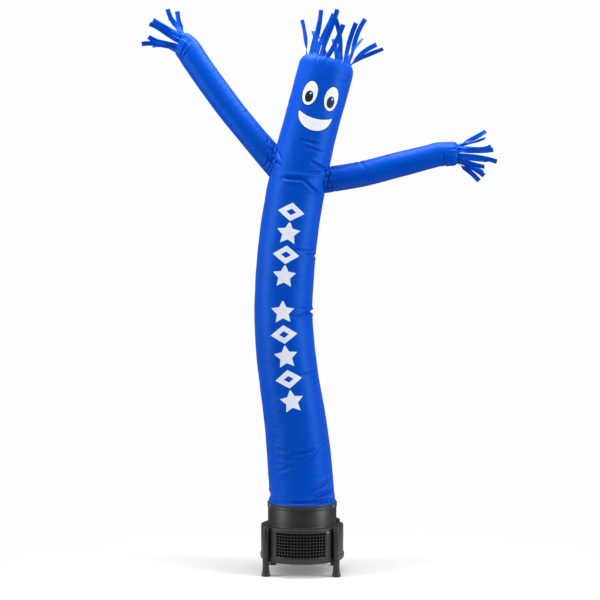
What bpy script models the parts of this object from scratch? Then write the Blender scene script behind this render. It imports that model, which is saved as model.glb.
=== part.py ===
"""An inflatable air dancer standing on its round blower, as separate sewn and moulded pieces.

The blower is a drum on four legs with an intake grille in its wall. Its collar blows air up into a long
cloth tube with two sleeves, open at the head and at both hands, each mouth edged with one fringe of strips.
+Z is up, the figure faces -Y, and the ground is Z = 0. The whole figure is centred on X = 0.
"""

import math

import bmesh
import bpy
from mathutils import Matrix, Vector

# Driving dimensions, in metres and degrees. Angles round an axis start at the front and grow towards +X.
BLOWER_X = -0.104  # the blower's axis, with the whole figure centred on X = 0
GAP = 0.0004  # clearance between pieces that touch
CLOTH = 0.002  # coated nylon sheet with its seams
STRIP_CLOTH = 0.0016  # the narrow strips of the fringes

HOUSING_RADIUS = 0.272
HOUSING_WALL = 0.004
HOUSING_FLOOR = 0.088  # underside of the bottom pan
HOUSING_TOP = 0.3105  # upper face of the top plate
PAN_RIM_TOP = 0.125
PAN_SHEET = 0.0045
PAN_CORNER = ((0.010, 0.0), (0.002, 0.006), (0.0, 0.016))  # in from the rim, up from the underside
TOP_PLATE = 0.012

COLLAR_RADIUS = 0.225
NECK_RADIUS = 0.2217  # recessed, so that the tube's hem and the clamp band fit over it
COLLAR_BORE = 0.2177
NECK_BOTTOM = 0.424
COLLAR_TOP = 0.4575
BAND_RADIUS = 0.2285
BAND_WALL = 0.004
BAND_BOTTOM = 0.426
BAND_TOP = 0.458
BAND_EDGE = 0.001

WINDOW_HALF_ANGLE = 36.0
WINDOW_BOTTOM = 0.131
WINDOW_TOP = 0.289
GRILLE_WALL = 0.003
GRILLE_COLUMNS = 8
GRILLE_ROWS = 5
GRILLE_BAR = 0.0045
GRILLE_RECESS = 0.002  # how far the panel stands back from the wall's face

LEG_RADIUS = 0.0215
LEG_ANGLES = (-51.0, 51.0, 134.0, 226.0)
LEG_TOP = 0.312
FOOT = ((0.0270, 0.0), (0.0290, 0.003), (0.0280, 0.010), (0.0235, 0.030), (0.0205, 0.060))  # radius, height
CAP_HEIGHT = 0.007

BAND_SCREW_ANGLES = (-65.0, 65.0, 115.0, 245.0)
BAND_SCREW_HEIGHT = 0.441
SCREW_RADIUS = 0.0062
SCREW_HEAD = 0.0034
PANEL_SCREW_ANGLE = 39.8
PANEL_SCREW_HEIGHT = 0.2875

INLET_ANGLE = 112.0  # the mains inlet, on the top plate at the rear right
INLET_SIZE = (0.030, 0.022, 0.020)
INLET_RADIUS = 0.2495
INLET_BEVEL = 0.003

TOP_BEVEL = 0.004
COLLAR_FOOT = 0.003  # the flange where the collar meets the top plate
CAP_BEVEL = 0.004
CUT_MARGIN = 0.02  # how far a cutter reaches past what it cuts
SLOPE_STEP = 0.004  # the distance over which a tube's direction is measured

ROUND_STEPS = 30  # facets round the blower's large pieces and the body tube, which nest at the hem
SLEEVE_STEPS = 16
LEG_STEPS = 16
NOTCH_STEPS = 20
SCREW_STEPS = 10
WINDOW_STEPS = 8
BODY_RING_SPACING = 0.088
SLEEVE_RINGS = 11
ARM_HOLE_INSET = 0.012  # the hole in the body tube is this much smaller than the sleeve on it

# The body tube's middle surface, from the clamped hem to the drawn-in mouth of the head.
# lean: the centre's place across the figure, from the blower's axis.
BODY_COLUMNS = ("height", "lean", "diameter")
BODY_ROWS = (
    (0.427, 0.000, 0.4462),
    (0.459, 0.000, 0.4462),
    (0.476, 0.000, 0.4290),
    (0.520, -0.002, 0.4240),
    (0.720, -0.016, 0.4200),
    (0.990, -0.046, 0.4080),
    (1.250, -0.084, 0.3920),
    (1.520, -0.114, 0.3860),
    (1.714, -0.125, 0.3800),
    (1.910, -0.116, 0.3820),
    (2.170, -0.093, 0.3840),
    (2.440, -0.054, 0.3800),
    (2.700, 0.001, 0.3700),
    (2.960, 0.066, 0.3620),
    (3.200, 0.131, 0.3630),
    (3.290, 0.155, 0.3620),
    (3.318, 0.163, 0.3520),
    (3.337, 0.168, 0.3340),
    (3.349, 0.171, 0.3100),
)

# The two sleeves, from a place inside the body tube to the drawn-in mouth of the hand.
SLEEVE_COLUMNS = ("lean", "height", "diameter")
SLEEVES = {
    "sleeve_left": (
        (-0.080, 2.565, 0.172),
        (-0.361, 2.898, 0.172),
        (-0.518, 3.095, 0.172),
        (-0.7135, 3.3725, 0.171),
        (-0.7420, 3.4180, 0.170),
        (-0.7650, 3.4480, 0.166),
        (-0.7860, 3.4670, 0.158),
        (-0.8020, 3.4765, 0.142),
    ),
    "sleeve_right": (
        (0.060, 2.552, 0.166),
        (0.281, 2.587, 0.166),
        (0.380, 2.604, 0.165),
        (0.643, 2.670, 0.164),
        (0.840, 2.719, 0.157),
        (0.906, 2.734, 0.157),
        (0.985, 2.735, 0.156),
        (1.003, 2.735, 0.148),
        (1.011, 2.735, 0.136),
    ),
}

# The body tube's main folds: soft troughs that cross it. half_turn and half_height are their reach.
FOLD_COLUMNS = ("height", "angle", "half_turn", "half_height", "depth", "slope")
BODY_FOLDS = (
    (0.800, 0.0, 80.0, 0.075, 0.0060, 0.0),
    (1.290, 75.0, 45.0, 0.085, 0.0060, 0.2),
    (1.705, 85.0, 75.0, 0.075, 0.0170, 0.1),
    (2.110, 80.0, 45.0, 0.085, 0.0070, -0.2),
    (2.480, -20.0, 70.0, 0.080, 0.0060, 0.2),
)

# Each fringe's strips. root is the angle round the mouth. start, middle, end and depth are the strip's
# directions: the first three from straight up towards +X, depth towards the front. The width of a strip
# starts along the mouth's edge and turns until it lies as the edge does at the angle face.
STRIP_COLUMNS = ("root", "length", "start", "middle", "end", "depth", "face")
FRINGES = {
    "fringe_head": (
        (-92.0, 0.235, -2.0, -7.0, -15.0, 6.0, -40.0),
        (-47.0, 0.290, 18.0, 12.0, 5.0, 8.0, -20.0),
        (-32.0, 0.285, 16.0, 26.0, 22.0, 4.0, -10.0),
        (-17.0, 0.310, 14.0, 23.0, 16.0, 12.0, 5.0),
        (-2.0, 0.230, 40.0, 26.0, 24.0, 10.0, 15.0),
        (31.0, 0.285, 10.0, -6.0, -27.0, 14.0, 10.0),
        (53.0, 0.264, 8.0, 16.0, 26.0, 12.0, 12.0),
        (76.0, 0.316, 10.0, 16.0, 38.0, 4.0, 14.0),
        (92.0, 0.245, 46.0, 66.0, 70.0, 6.0, 20.0),
        (109.0, 0.240, 32.0, 50.0, 66.0, -6.0, 14.0),
        (131.0, 0.240, 20.0, 30.0, 40.0, -14.0, 130.0),
        (155.0, 0.200, -4.0, -8.0, -14.0, -12.0, 160.0),
        (188.0, 0.236, -8.0, -14.0, -52.0, -10.0, 120.0),
        (214.0, 0.230, 4.0, -6.0, -20.0, -18.0, 200.0),
        (240.0, 0.270, 8.0, 14.0, 10.0, -16.0, 230.0),
    ),
    "fringe_left": (
        (-72.0, 0.228, -58.0, -80.0, -100.0, 6.0, -10.0),
        (-36.0, 0.195, -68.0, -80.0, -50.0, 14.0, 0.0),
        (2.0, 0.224, -72.0, -56.0, -78.0, 18.0, -8.0),
        (38.0, 0.216, -68.0, -64.0, -56.0, 14.0, 5.0),
        (68.0, 0.200, -54.0, -34.0, -12.0, 8.0, 0.0),
        (98.0, 0.168, -38.0, -18.0, -2.0, 0.0, 10.0),
        (128.0, 0.180, -44.0, -32.0, -54.0, -10.0, 172.0),
        (162.0, 0.200, -56.0, -58.0, -62.0, -16.0, 180.0),
        (200.0, 0.200, -72.0, -84.0, -90.0, -16.0, 200.0),
        (243.0, 0.205, -66.0, -72.0, -84.0, -10.0, 240.0),
    ),
    "fringe_right": (
        (-80.0, 0.205, 84.0, 64.0, 60.0, 4.0, -4.0),
        (-48.0, 0.224, 97.0, 96.0, 60.0, 12.0, 6.0),
        (-18.0, 0.236, 92.0, 92.0, 84.0, 18.0, 0.0),
        (11.0, 0.262, 98.0, 100.0, 114.0, 14.0, 10.0),
        (40.0, 0.187, 112.0, 108.0, 104.0, 16.0, 20.0),
        (69.0, 0.200, 108.0, 118.0, 134.0, 8.0, 6.0),
        (98.0, 0.187, 120.0, 128.0, 140.0, -2.0, 0.0),
        (134.0, 0.200, 104.0, 112.0, 120.0, -14.0, 150.0),
        (170.0, 0.220, 92.0, 96.0, 88.0, -14.0, 180.0),
        (210.0, 0.225, 90.0, 86.0, 78.0, -16.0, 210.0),
        (246.0, 0.200, 88.0, 74.0, 68.0, -8.0, 246.0),
    ),
}
STRIP_WIDTH = 0.029
STRIP_BENDS = 5
STRIP_TURNED_BY = 0.6  # the share of a strip's length by which it has turned
HEADING_HEIGHT = 0.014
HEADING_STANDS = 0.004  # how far it stands out of the mouth, so that leaning strips clear the edge
HEADING_CLEAR = 0.0042  # from the facets of the mouth that it is sewn in

NYLON = ("nylon", (0.0, 0.09, 0.60), 0.42, 0.0)
MOULDED = ("moulded_plastic", (0.032, 0.032, 0.033), 0.48, 0.0)
METAL = ("screw_metal", (0.55, 0.55, 0.56), 0.35, 1.0)


def clear_scene():
    for item in list(bpy.data.objects):
        bpy.data.objects.remove(item, do_unlink=True)


def material(finish):
    name, colour, roughness, metallic = finish
    found = bpy.data.materials.get(name)
    if found:
        return found
    made = bpy.data.materials.new(name)
    made.use_nodes = True
    shader = made.node_tree.nodes["Principled BSDF"]
    shader.inputs["Base Color"].default_value = (*colour, 1.0)
    shader.inputs["Roughness"].default_value = roughness
    shader.inputs["Metallic"].default_value = metallic
    made.diffuse_color = (*colour, 1.0)
    return made


def add_object(name, mesh, finish, sharp_angle=35.0):
    mesh.name = name
    mesh.materials.append(material(finish))
    mesh.shade_smooth()
    mesh.set_sharp_from_angle(angle=math.radians(sharp_angle))
    made = bpy.data.objects.new(name, mesh)
    bpy.context.collection.objects.link(made)
    return made


def mesh_from(bm, name="shape"):
    """A mesh of the closed form in bm, with its faces pointing out."""
    bmesh.ops.recalc_face_normals(bm, faces=bm.faces)
    mesh = bpy.data.meshes.new(name)
    bm.to_mesh(mesh)
    bm.free()
    return mesh


def cut(target, cutter_mesh, name):
    """Takes the cutter's form out of target. The cutter stays as a hidden guide."""
    cutter = bpy.data.objects.new(name, cutter_mesh)
    bpy.context.collection.objects.link(cutter)
    cutter.hide_render = True
    cutter.display_type = "WIRE"
    change = target.modifiers.new(name, "BOOLEAN")
    change.operation = "DIFFERENCE"
    change.solver = "EXACT"
    change.object = cutter
    return cutter


def around(angle, radius, height):
    """A point round the blower's axis."""
    turn = math.radians(angle)
    return Vector((BLOWER_X + radius * math.sin(turn), -radius * math.cos(turn), height))


def turned(profile, steps, centre=(BLOWER_X, 0.0)):
    """A closed ring or rod turned from a profile of (radius, height) points. Radius 0 closes on the axis."""
    bm = bmesh.new()
    rings = []
    for radius, height in profile:
        if radius == 0.0:
            rings.append([bm.verts.new((centre[0], centre[1], height))])
            continue
        rings.append([])
        for k in range(steps):
            turn = 2 * math.pi * k / steps
            place = (centre[0] + radius * math.sin(turn), centre[1] - radius * math.cos(turn), height)
            rings[-1].append(bm.verts.new(place))
    closes_on_axis = len(rings[0]) == 1
    pairs = list(zip(rings, rings[1:]))
    if not closes_on_axis:
        pairs.append((rings[-1], rings[0]))
    for low, high in pairs:
        for k in range(steps):
            n = (k + 1) % steps
            corners = [low[k % len(low)], low[n % len(low)], high[n % len(high)], high[k % len(high)]]
            bm.faces.new(list(dict.fromkeys(corners)))
    return mesh_from(bm)


def arc_slab(inner, outer, low, high, half_angle, steps):
    """A curved slab between two radii and two heights, reaching half_angle each way from the front."""
    bm = bmesh.new()
    columns = []
    for k in range(steps + 1):
        angle = 2 * half_angle * k / steps - half_angle
        corners = ((inner, low), (outer, low), (outer, high), (inner, high))
        columns.append([bm.verts.new(around(angle, r, z)) for r, z in corners])
    for left, right in zip(columns, columns[1:]):
        for k in range(4):
            n = (k + 1) % 4
            bm.faces.new((left[k], left[n], right[n], right[k]))
    bm.faces.new(columns[0])
    bm.faces.new(list(reversed(columns[-1])))
    return mesh_from(bm)


# ---- The blower ----


def bottom_pan():
    rim_inside = HOUSING_RADIUS + GAP
    rim_outside = rim_inside + PAN_SHEET
    floor_top = HOUSING_FLOOR + PAN_SHEET
    profile = (
        (0.0, HOUSING_FLOOR),
        *((rim_outside - inset, HOUSING_FLOOR + rise) for inset, rise in PAN_CORNER),
        (rim_outside, PAN_RIM_TOP),
        (rim_inside, PAN_RIM_TOP),
        (rim_inside, floor_top),
        (0.0, floor_top),
    )
    pan = add_object("bottom_pan", turned(profile, ROUND_STEPS), MOULDED)
    for angle in LEG_ANGLES:
        place = around(angle, HOUSING_RADIUS + GAP + LEG_RADIUS, 0.0)
        room = LEG_RADIUS + 2 * GAP
        under, over = HOUSING_FLOOR - CUT_MARGIN, PAN_RIM_TOP + CUT_MARGIN
        notch = ((0.0, under), (room, under), (room, over), (0.0, over))
        cut(pan, turned(notch, NOTCH_STEPS, (place.x, place.y)), f"notch_{round(angle)}")


def housing_wall():
    low = HOUSING_FLOOR + PAN_SHEET + GAP
    high = HOUSING_TOP - TOP_PLATE - GAP
    inner = HOUSING_RADIUS - HOUSING_WALL
    profile = ((HOUSING_RADIUS, low), (HOUSING_RADIUS, high), (inner, high), (inner, low))
    wall = add_object("housing_wall", turned(profile, ROUND_STEPS), MOULDED)
    near, far = inner - CUT_MARGIN, HOUSING_RADIUS + CUT_MARGIN
    window = arc_slab(near, far, WINDOW_BOTTOM, WINDOW_TOP, WINDOW_HALF_ANGLE, WINDOW_STEPS)
    cut(wall, window, "window")


def intake_grille():
    """One curved panel with a grid of holes, standing in the window of the wall."""
    clear = math.degrees(GAP / HOUSING_RADIUS)
    half_angle = WINDOW_HALF_ANGLE - clear
    low = WINDOW_BOTTOM + GAP
    high = WINDOW_TOP - GAP
    outer = HOUSING_RADIUS - GRILLE_RECESS
    inner = outer - GRILLE_WALL
    bar_angle = math.degrees(GRILLE_BAR / outer)

    def edges(start, end, bar, count):
        """Both edges of every hole between start and end, with a bar before, between and after them."""
        hole = (end - start - bar * (count + 1)) / count
        places = [start]
        for k in range(count):
            places.append(start + bar + k * (hole + bar))
            places.append(start + (k + 1) * (hole + bar))
        return places + [end]

    across = edges(-half_angle, half_angle, bar_angle, GRILLE_COLUMNS)
    up = edges(low, high, GRILLE_BAR, GRILLE_ROWS)
    bm = bmesh.new()
    grid = {}
    for i, angle in enumerate(across):
        for j, height in enumerate(up):
            for side, radius in (("out", outer), ("in", inner)):
                grid[i, j, side] = bm.verts.new(around(angle, radius, height))

    def is_hole(i, j):
        inside = 0 <= i < len(across) - 1 and 0 <= j < len(up) - 1
        return not inside or (i % 2 == 1 and j % 2 == 1)

    for i in range(len(across) - 1):
        for j in range(len(up) - 1):
            if is_hole(i, j):
                continue
            around_cell = ((i, j), (i + 1, j), (i + 1, j + 1), (i, j + 1))
            bm.faces.new([grid[a, b, "out"] for a, b in around_cell])
            bm.faces.new([grid[a, b, "in"] for a, b in reversed(around_cell)])
            beyond = ((i, j - 1), (i + 1, j), (i, j + 1), (i - 1, j))
            for k, neighbour in enumerate(beyond):
                if is_hole(*neighbour):
                    a, b = around_cell[k], around_cell[(k + 1) % 4]
                    bm.faces.new((grid[(*a, "out")], grid[(*b, "out")], grid[(*b, "in")], grid[(*a, "in")]))
    add_object("intake_grille", mesh_from(bm), MOULDED)


def top_plate():
    low = HOUSING_TOP - TOP_PLATE
    profile = (
        (HOUSING_RADIUS, low),
        (HOUSING_RADIUS, HOUSING_TOP - TOP_BEVEL),
        (HOUSING_RADIUS - TOP_BEVEL, HOUSING_TOP),
        (COLLAR_BORE, HOUSING_TOP),
        (COLLAR_BORE, low),
    )
    add_object("top_plate", turned(profile, ROUND_STEPS), MOULDED)


def outlet_collar():
    """The round outlet, with a recessed neck at its top for the tube's hem."""
    foot = HOUSING_TOP + GAP
    profile = (
        (COLLAR_RADIUS + COLLAR_FOOT, foot),
        (COLLAR_RADIUS + COLLAR_FOOT, foot + COLLAR_FOOT),
        (COLLAR_RADIUS, foot + 2 * COLLAR_FOOT),
        (COLLAR_RADIUS, NECK_BOTTOM),
        (NECK_RADIUS, NECK_BOTTOM),
        (NECK_RADIUS, COLLAR_TOP),
        (COLLAR_BORE, COLLAR_TOP),
        (COLLAR_BORE, foot),
    )
    add_object("outlet_collar", turned(profile, ROUND_STEPS), MOULDED)


def clamp_band():
    inner = BAND_RADIUS - BAND_WALL
    profile = (
        (BAND_RADIUS - BAND_EDGE, BAND_BOTTOM),
        (BAND_RADIUS, BAND_BOTTOM + 2 * BAND_EDGE),
        (BAND_RADIUS, BAND_TOP - 2 * BAND_EDGE),
        (BAND_RADIUS - BAND_EDGE, BAND_TOP),
        (inner, BAND_TOP),
        (inner, BAND_BOTTOM),
    )
    add_object("clamp_band", turned(profile, ROUND_STEPS), MOULDED)


def screw(name, angle, seat_radius, height):
    """A round-headed screw on a curved wall, its axis pointing out of the blower."""
    profile = (
        (0.0, 0.0),
        (SCREW_RADIUS, 0.0),
        (SCREW_RADIUS, 0.35 * SCREW_HEAD),
        (0.6 * SCREW_RADIUS, 0.85 * SCREW_HEAD),
        (0.0, SCREW_HEAD),
    )
    made = add_object(name, turned(profile, SCREW_STEPS, (0.0, 0.0)), METAL)
    outwards = Matrix.Rotation(math.radians(angle), 4, "Z") @ Matrix.Rotation(math.radians(90), 4, "X")
    made.matrix_world = Matrix.Translation(around(angle, seat_radius + GAP, height)) @ outwards


def leg(number, angle):
    """A turned leg that stands against the wall, with a flared foot, and the cap on its top."""
    place = around(angle, HOUSING_RADIUS + GAP + LEG_RADIUS, 0.0)
    profile = (
        (0.0, 0.0),
        *FOOT,
        (LEG_RADIUS, HOUSING_FLOOR),
        (LEG_RADIUS, LEG_TOP),
        (0.0, LEG_TOP),
    )
    add_object(f"leg_{number}", turned(profile, LEG_STEPS, (place.x, place.y)), MOULDED)
    low = LEG_TOP + GAP
    cap = (
        (0.0, low),
        (LEG_RADIUS, low),
        (LEG_RADIUS, low + 0.6 * CAP_HEIGHT),
        (LEG_RADIUS - CAP_BEVEL, low + CAP_HEIGHT),
        (0.0, low + CAP_HEIGHT),
    )
    add_object(f"leg_cap_{number}", turned(cap, LEG_STEPS, (place.x, place.y)), MOULDED)


def mains_inlet():
    bm = bmesh.new()
    bmesh.ops.create_cube(bm, size=1.0)
    bmesh.ops.scale(bm, vec=INLET_SIZE, verts=bm.verts)
    bmesh.ops.bevel(bm, geom=bm.edges[:], offset=INLET_BEVEL, segments=1, affect="EDGES")
    made = add_object("mains_inlet", mesh_from(bm), MOULDED)
    turn = Matrix.Rotation(math.radians(INLET_ANGLE), 4, "Z")
    height = HOUSING_TOP + GAP + INLET_SIZE[2] / 2
    made.matrix_world = Matrix.Translation(around(INLET_ANGLE, INLET_RADIUS, height)) @ turn


# ---- The cloth ----


def smooth(places, values, at):
    """The value at one place of a curve through the rows that never overshoots them."""
    slopes = [(b - a) / (q - p) for a, b, p, q in zip(values, values[1:], places, places[1:])]
    tangents = [slopes[0]]
    for before, after in zip(slopes, slopes[1:]):
        turns = before * after <= 0
        tangents.append(0.0 if turns else 2 * before * after / (before + after))
    tangents.append(slopes[-1])
    k = 0
    while k < len(slopes) - 1 and at > places[k + 1]:
        k += 1
    span = places[k + 1] - places[k]
    t = (at - places[k]) / span
    if not 0.0 <= t <= 1.0:  # straight on past either end
        end, edge = (k, 0.0) if t < 0 else (k + 1, 1.0)
        return values[end] + tangents[end] * (t - edge) * span
    return (
        (1 + 2 * t) * (1 - t) ** 2 * values[k]
        + t * (1 - t) ** 2 * span * tangents[k]
        + t * t * (3 - 2 * t) * values[k + 1]
        + t * t * (t - 1) * span * tangents[k + 1]
    )


class Tube:
    """A cloth tube along a curve in the plane Y = 0. s is the distance along its rows."""

    def __init__(self, leans, heights, diameters, folds=()):
        self.leans = [BLOWER_X + lean for lean in leans]
        self.heights = heights
        self.diameters = diameters
        self.folds = [dict(zip(FOLD_COLUMNS, row)) for row in folds]
        self.s = [0.0]
        for k in range(1, len(heights)):
            step = math.hypot(self.leans[k] - self.leans[k - 1], heights[k] - heights[k - 1])
            self.s.append(self.s[-1] + step)

    def centre(self, s):
        return Vector((smooth(self.s, self.leans, s), 0.0, smooth(self.s, self.heights, s)))

    def axes(self, s):
        """The tube's direction at s, and the direction across it in its own plane."""
        along = (self.centre(s + SLOPE_STEP) - self.centre(s - SLOPE_STEP)).normalized()
        return along, Vector((0.0, 1.0, 0.0)).cross(along)

    def radius(self, s, angle):
        radius = smooth(self.s, self.diameters, s) / 2
        height = smooth(self.s, self.heights, s)
        for fold in self.folds:
            turn = (angle - fold["angle"] + 180.0) % 360.0 - 180.0
            rise = height - fold["height"] - fold["slope"] * math.radians(turn) * radius
            reach = math.hypot(turn / fold["half_turn"], rise / fold["half_height"])
            if reach < 1.0:
                radius -= fold["depth"] * (1 - reach * reach) ** 2
        return radius

    def point(self, s, angle, offset=0.0):
        along, across = self.axes(s)
        out = across * math.sin(math.radians(angle)) - Vector((0.0, math.cos(math.radians(angle)), 0.0))
        return self.centre(s) + out * (self.radius(s, angle) + offset)

    def distance_outside(self, place):
        """How far place lies outside the middle surface."""
        s = self.s[-1] / 2
        for _ in range(12):
            along, _across = self.axes(s)
            s += (place - self.centre(s)).dot(along)
        along, across = self.axes(s)
        offset = place - self.centre(s)
        angle = math.degrees(math.atan2(offset.dot(across), -offset.y))
        return offset.length - self.radius(s, angle)


def skin(tube, ring_places, steps):
    """A closed sheet of cloth round a tube. ring_places is a list of functions of (angle, offset) to s."""
    bm = bmesh.new()
    layers = []
    for offset in (-CLOTH / 2, CLOTH / 2):
        rings = []
        for place in ring_places:
            angles = [360.0 * k / steps for k in range(steps)]
            rings.append([bm.verts.new(tube.point(place(a, offset), a, offset)) for a in angles])
        layers.append(rings)
    inner, outer = layers
    for k in range(steps):
        n = (k + 1) % steps
        for rings in layers:
            for low, high in zip(rings, rings[1:]):
                bm.faces.new((low[k], low[n], high[n], high[k]))
        for end in (0, -1):
            bm.faces.new((inner[end][k], inner[end][n], outer[end][n], outer[end][k]))
    return mesh_from(bm)


def table(rows, columns, column):
    return [row[columns.index(column)] for row in rows]


def make_body():
    return Tube(
        table(BODY_ROWS, BODY_COLUMNS, "lean"),
        table(BODY_ROWS, BODY_COLUMNS, "height"),
        table(BODY_ROWS, BODY_COLUMNS, "diameter"),
        BODY_FOLDS,
    )


def make_sleeve(name):
    rows = SLEEVES[name]
    return Tube(
        table(rows, SLEEVE_COLUMNS, "lean"),
        table(rows, SLEEVE_COLUMNS, "height"),
        table(rows, SLEEVE_COLUMNS, "diameter"),
    )


def body_tube(body, sleeves):
    hem = 3  # rows of the clamped hem, each with its own ring
    mouth = 4  # rows of the drawn-in mouth
    start, end = body.s[hem], body.s[-mouth]
    count = round((end - start) / BODY_RING_SPACING)
    places = body.s[:hem] + [start + (end - start) * k / count for k in range(count + 1)]
    places += body.s[-mouth + 1 :]
    rings = [lambda angle, offset, s=s: s for s in places]
    made = add_object("body_tube", skin(body, rings, ROUND_STEPS), NYLON, 60.0)
    for name, sleeve in sleeves.items():
        root = saddle(body, sleeve, 0.0, 0.0)
        along, _across = sleeve.axes(root)
        radius = sleeve.radius(root, 0.0) - ARM_HOLE_INSET
        profile = ((0.0, -0.10), (radius, -0.10), (radius, 0.06), (0.0, 0.06))
        cutter = cut(made, turned(profile, LEG_STEPS, (0.0, 0.0)), f"hole_for_{name}")
        turn = Vector((0.0, 0.0, 1.0)).rotation_difference(along).to_matrix().to_4x4()
        cutter.matrix_world = Matrix.Translation(sleeve.centre(root)) @ turn


def saddle(body, sleeve, angle, offset):
    """Where the sleeve's line at this angle meets the outside of the body tube."""
    low, high = 0.0, 0.45 * sleeve.s[-1]
    for _ in range(40):
        middle = (low + high) / 2
        outside = body.distance_outside(sleeve.point(middle, angle, offset)) - CLOTH / 2 - 2 * GAP
        low, high = (middle, high) if outside < 0 else (low, middle)
    return high


def sleeve_tube(name, body, sleeve):
    """A sleeve whose first ring follows the body tube's side, where it is sewn on."""
    mouth = 3
    rings = []
    for k in range(SLEEVE_RINGS):
        share = k / (SLEEVE_RINGS - 1)

        def place(angle, offset, share=share):
            root = saddle(body, sleeve, angle, offset)
            return root + (sleeve.s[-mouth] - root) * share

        rings.append(place)
    for s in sleeve.s[-mouth + 1 :]:
        rings.append(lambda angle, offset, s=s: s)
    add_object(name, skin(sleeve, rings, SLEEVE_STEPS), NYLON, 60.0)


def strip_path(root, row):
    """The middle line of one strip, bending through its three directions."""
    places = [root]
    for k in range(STRIP_BENDS):
        share = (k + 0.5) / STRIP_BENDS
        lean = row["start"] * (1 - 2 * share) * (1 - share)
        lean += row["middle"] * 4 * share * (1 - share) + row["end"] * share * (2 * share - 1)
        lean = math.radians(lean)
        depth = math.radians(row["depth"]) * (0.4 + 1.2 * share)
        sideways, upwards = math.sin(lean) * math.cos(depth), math.cos(lean) * math.cos(depth)
        direction = Vector((sideways, -math.sin(depth), upwards))
        places.append(places[-1] + direction * row["length"] / STRIP_BENDS)
    return places


def fringe(name, tube, rows):
    """One comb: a heading band sewn inside the mouth's edge, with a strip rising from it at each root."""
    rows = [dict(zip(STRIP_COLUMNS, row)) for row in rows]
    end = tube.s[-1] + HEADING_STANDS
    foot = end - HEADING_HEIGHT
    outside = -CLOTH / 2 - HEADING_CLEAR
    radius = tube.radius(end, 0.0) + outside
    half = math.degrees(STRIP_WIDTH / 2 / radius)
    _direction, across = tube.axes(end)
    backwards = Vector((0.0, 1.0, 0.0))
    edges = []
    for row in rows:
        edges += [(row["root"] - half, row), (row["root"] + half, None)]
    bm = bmesh.new()
    corners = []
    for angle, _row in edges:
        low_out = tube.point(foot, angle, outside)
        low_in = tube.point(foot, angle, outside - STRIP_CLOTH)
        top_out = tube.point(end, angle, outside)
        top_in = tube.point(end, angle, outside - STRIP_CLOTH)
        corners.append([bm.verts.new(p) for p in (low_in, low_out, top_out, top_in)])
    for k, (_angle, row) in enumerate(edges):
        left, right = corners[k], corners[(k + 1) % len(corners)]
        for side in (0, 1, 3):
            n = (side + 1) % 4
            bm.faces.new((left[side], left[n], right[n], right[side]))
        top = (left[2], right[2], right[3], left[3])
        if row is None:
            bm.faces.new(top)
            continue
        path = strip_path(sum((v.co for v in top), Vector()) / 4, row)
        below = top
        for step, (here, there) in enumerate(zip(path, path[1:]), 1):
            along = (there - here).normalized()
            turned = min(step / STRIP_BENDS / STRIP_TURNED_BY, 1.0)
            turn = math.radians(row["root"] + (row["face"] - row["root"]) * turned)
            wide = across * math.cos(turn) + backwards * math.sin(turn)
            wide = (wide - along * wide.dot(along)).normalized()
            thin = wide.cross(along) * (STRIP_CLOTH / 2)
            side = wide * (STRIP_WIDTH / 2)
            above = [bm.verts.new(there + p) for p in (thin - side, thin + side, side - thin, -side - thin)]
            for i in range(4):
                n = (i + 1) % 4
                bm.faces.new((below[i], below[n], above[n], above[i]))
            below = above
        bm.faces.new(below)
    add_object(name, mesh_from(bm), NYLON, 60.0)


def main():
    clear_scene()
    bottom_pan()
    housing_wall()
    intake_grille()
    top_plate()
    outlet_collar()
    clamp_band()
    for number, angle in enumerate(LEG_ANGLES, 1):
        leg(number, angle)
    for number, angle in enumerate(BAND_SCREW_ANGLES, 1):
        screw(f"band_screw_{number}", angle, BAND_RADIUS, BAND_SCREW_HEIGHT)
    screw("panel_screw", PANEL_SCREW_ANGLE, HOUSING_RADIUS, PANEL_SCREW_HEIGHT)
    mains_inlet()

    body = make_body()
    sleeves = {name: make_sleeve(name) for name in SLEEVES}
    body_tube(body, sleeves)
    for name, sleeve in sleeves.items():
        sleeve_tube(name, body, sleeve)
    fringe("fringe_head", body, FRINGES["fringe_head"])
    fringe("fringe_left", sleeves["sleeve_left"], FRINGES["fringe_left"])
    fringe("fringe_right", sleeves["sleeve_right"], FRINGES["fringe_right"])


main()
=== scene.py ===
# %% [markdown]
# # An inflatable air dancer on its blower
# A tall cloth tube stands on a round blower, and the air that leaves through its head and hands makes it
# dance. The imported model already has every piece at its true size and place. This script gives each piece
# its finished surface: fine cloth with its creases, strips that curl, turned plastic, a printed face.
# Everything is in metres. The ground is Z = 0 and the figure faces -Y.

# %% Load the frame
import math

import bmesh
import bpy
import numpy as np
from mathutils import Matrix, Vector


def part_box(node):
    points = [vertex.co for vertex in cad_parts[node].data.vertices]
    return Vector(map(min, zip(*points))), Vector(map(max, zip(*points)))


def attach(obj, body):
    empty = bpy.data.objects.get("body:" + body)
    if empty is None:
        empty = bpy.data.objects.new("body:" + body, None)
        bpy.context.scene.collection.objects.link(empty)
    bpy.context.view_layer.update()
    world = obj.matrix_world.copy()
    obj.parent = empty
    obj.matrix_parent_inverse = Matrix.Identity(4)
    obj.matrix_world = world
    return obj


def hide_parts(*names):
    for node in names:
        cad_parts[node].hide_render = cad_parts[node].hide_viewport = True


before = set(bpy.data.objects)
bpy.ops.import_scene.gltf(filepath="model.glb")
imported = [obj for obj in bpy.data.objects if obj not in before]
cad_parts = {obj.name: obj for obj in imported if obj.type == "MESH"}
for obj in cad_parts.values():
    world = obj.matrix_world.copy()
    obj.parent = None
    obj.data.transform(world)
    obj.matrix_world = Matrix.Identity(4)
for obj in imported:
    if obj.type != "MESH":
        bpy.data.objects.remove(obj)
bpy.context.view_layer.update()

# %% [markdown]
# ## Places that every piece shares
# The blower stands a little left of the middle, because the whole figure is centred on X = 0. Its axis is
# read from the collar's box, so the pieces here sit where the model has them. Angles round that axis start
# at the front and grow towards +X.

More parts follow.
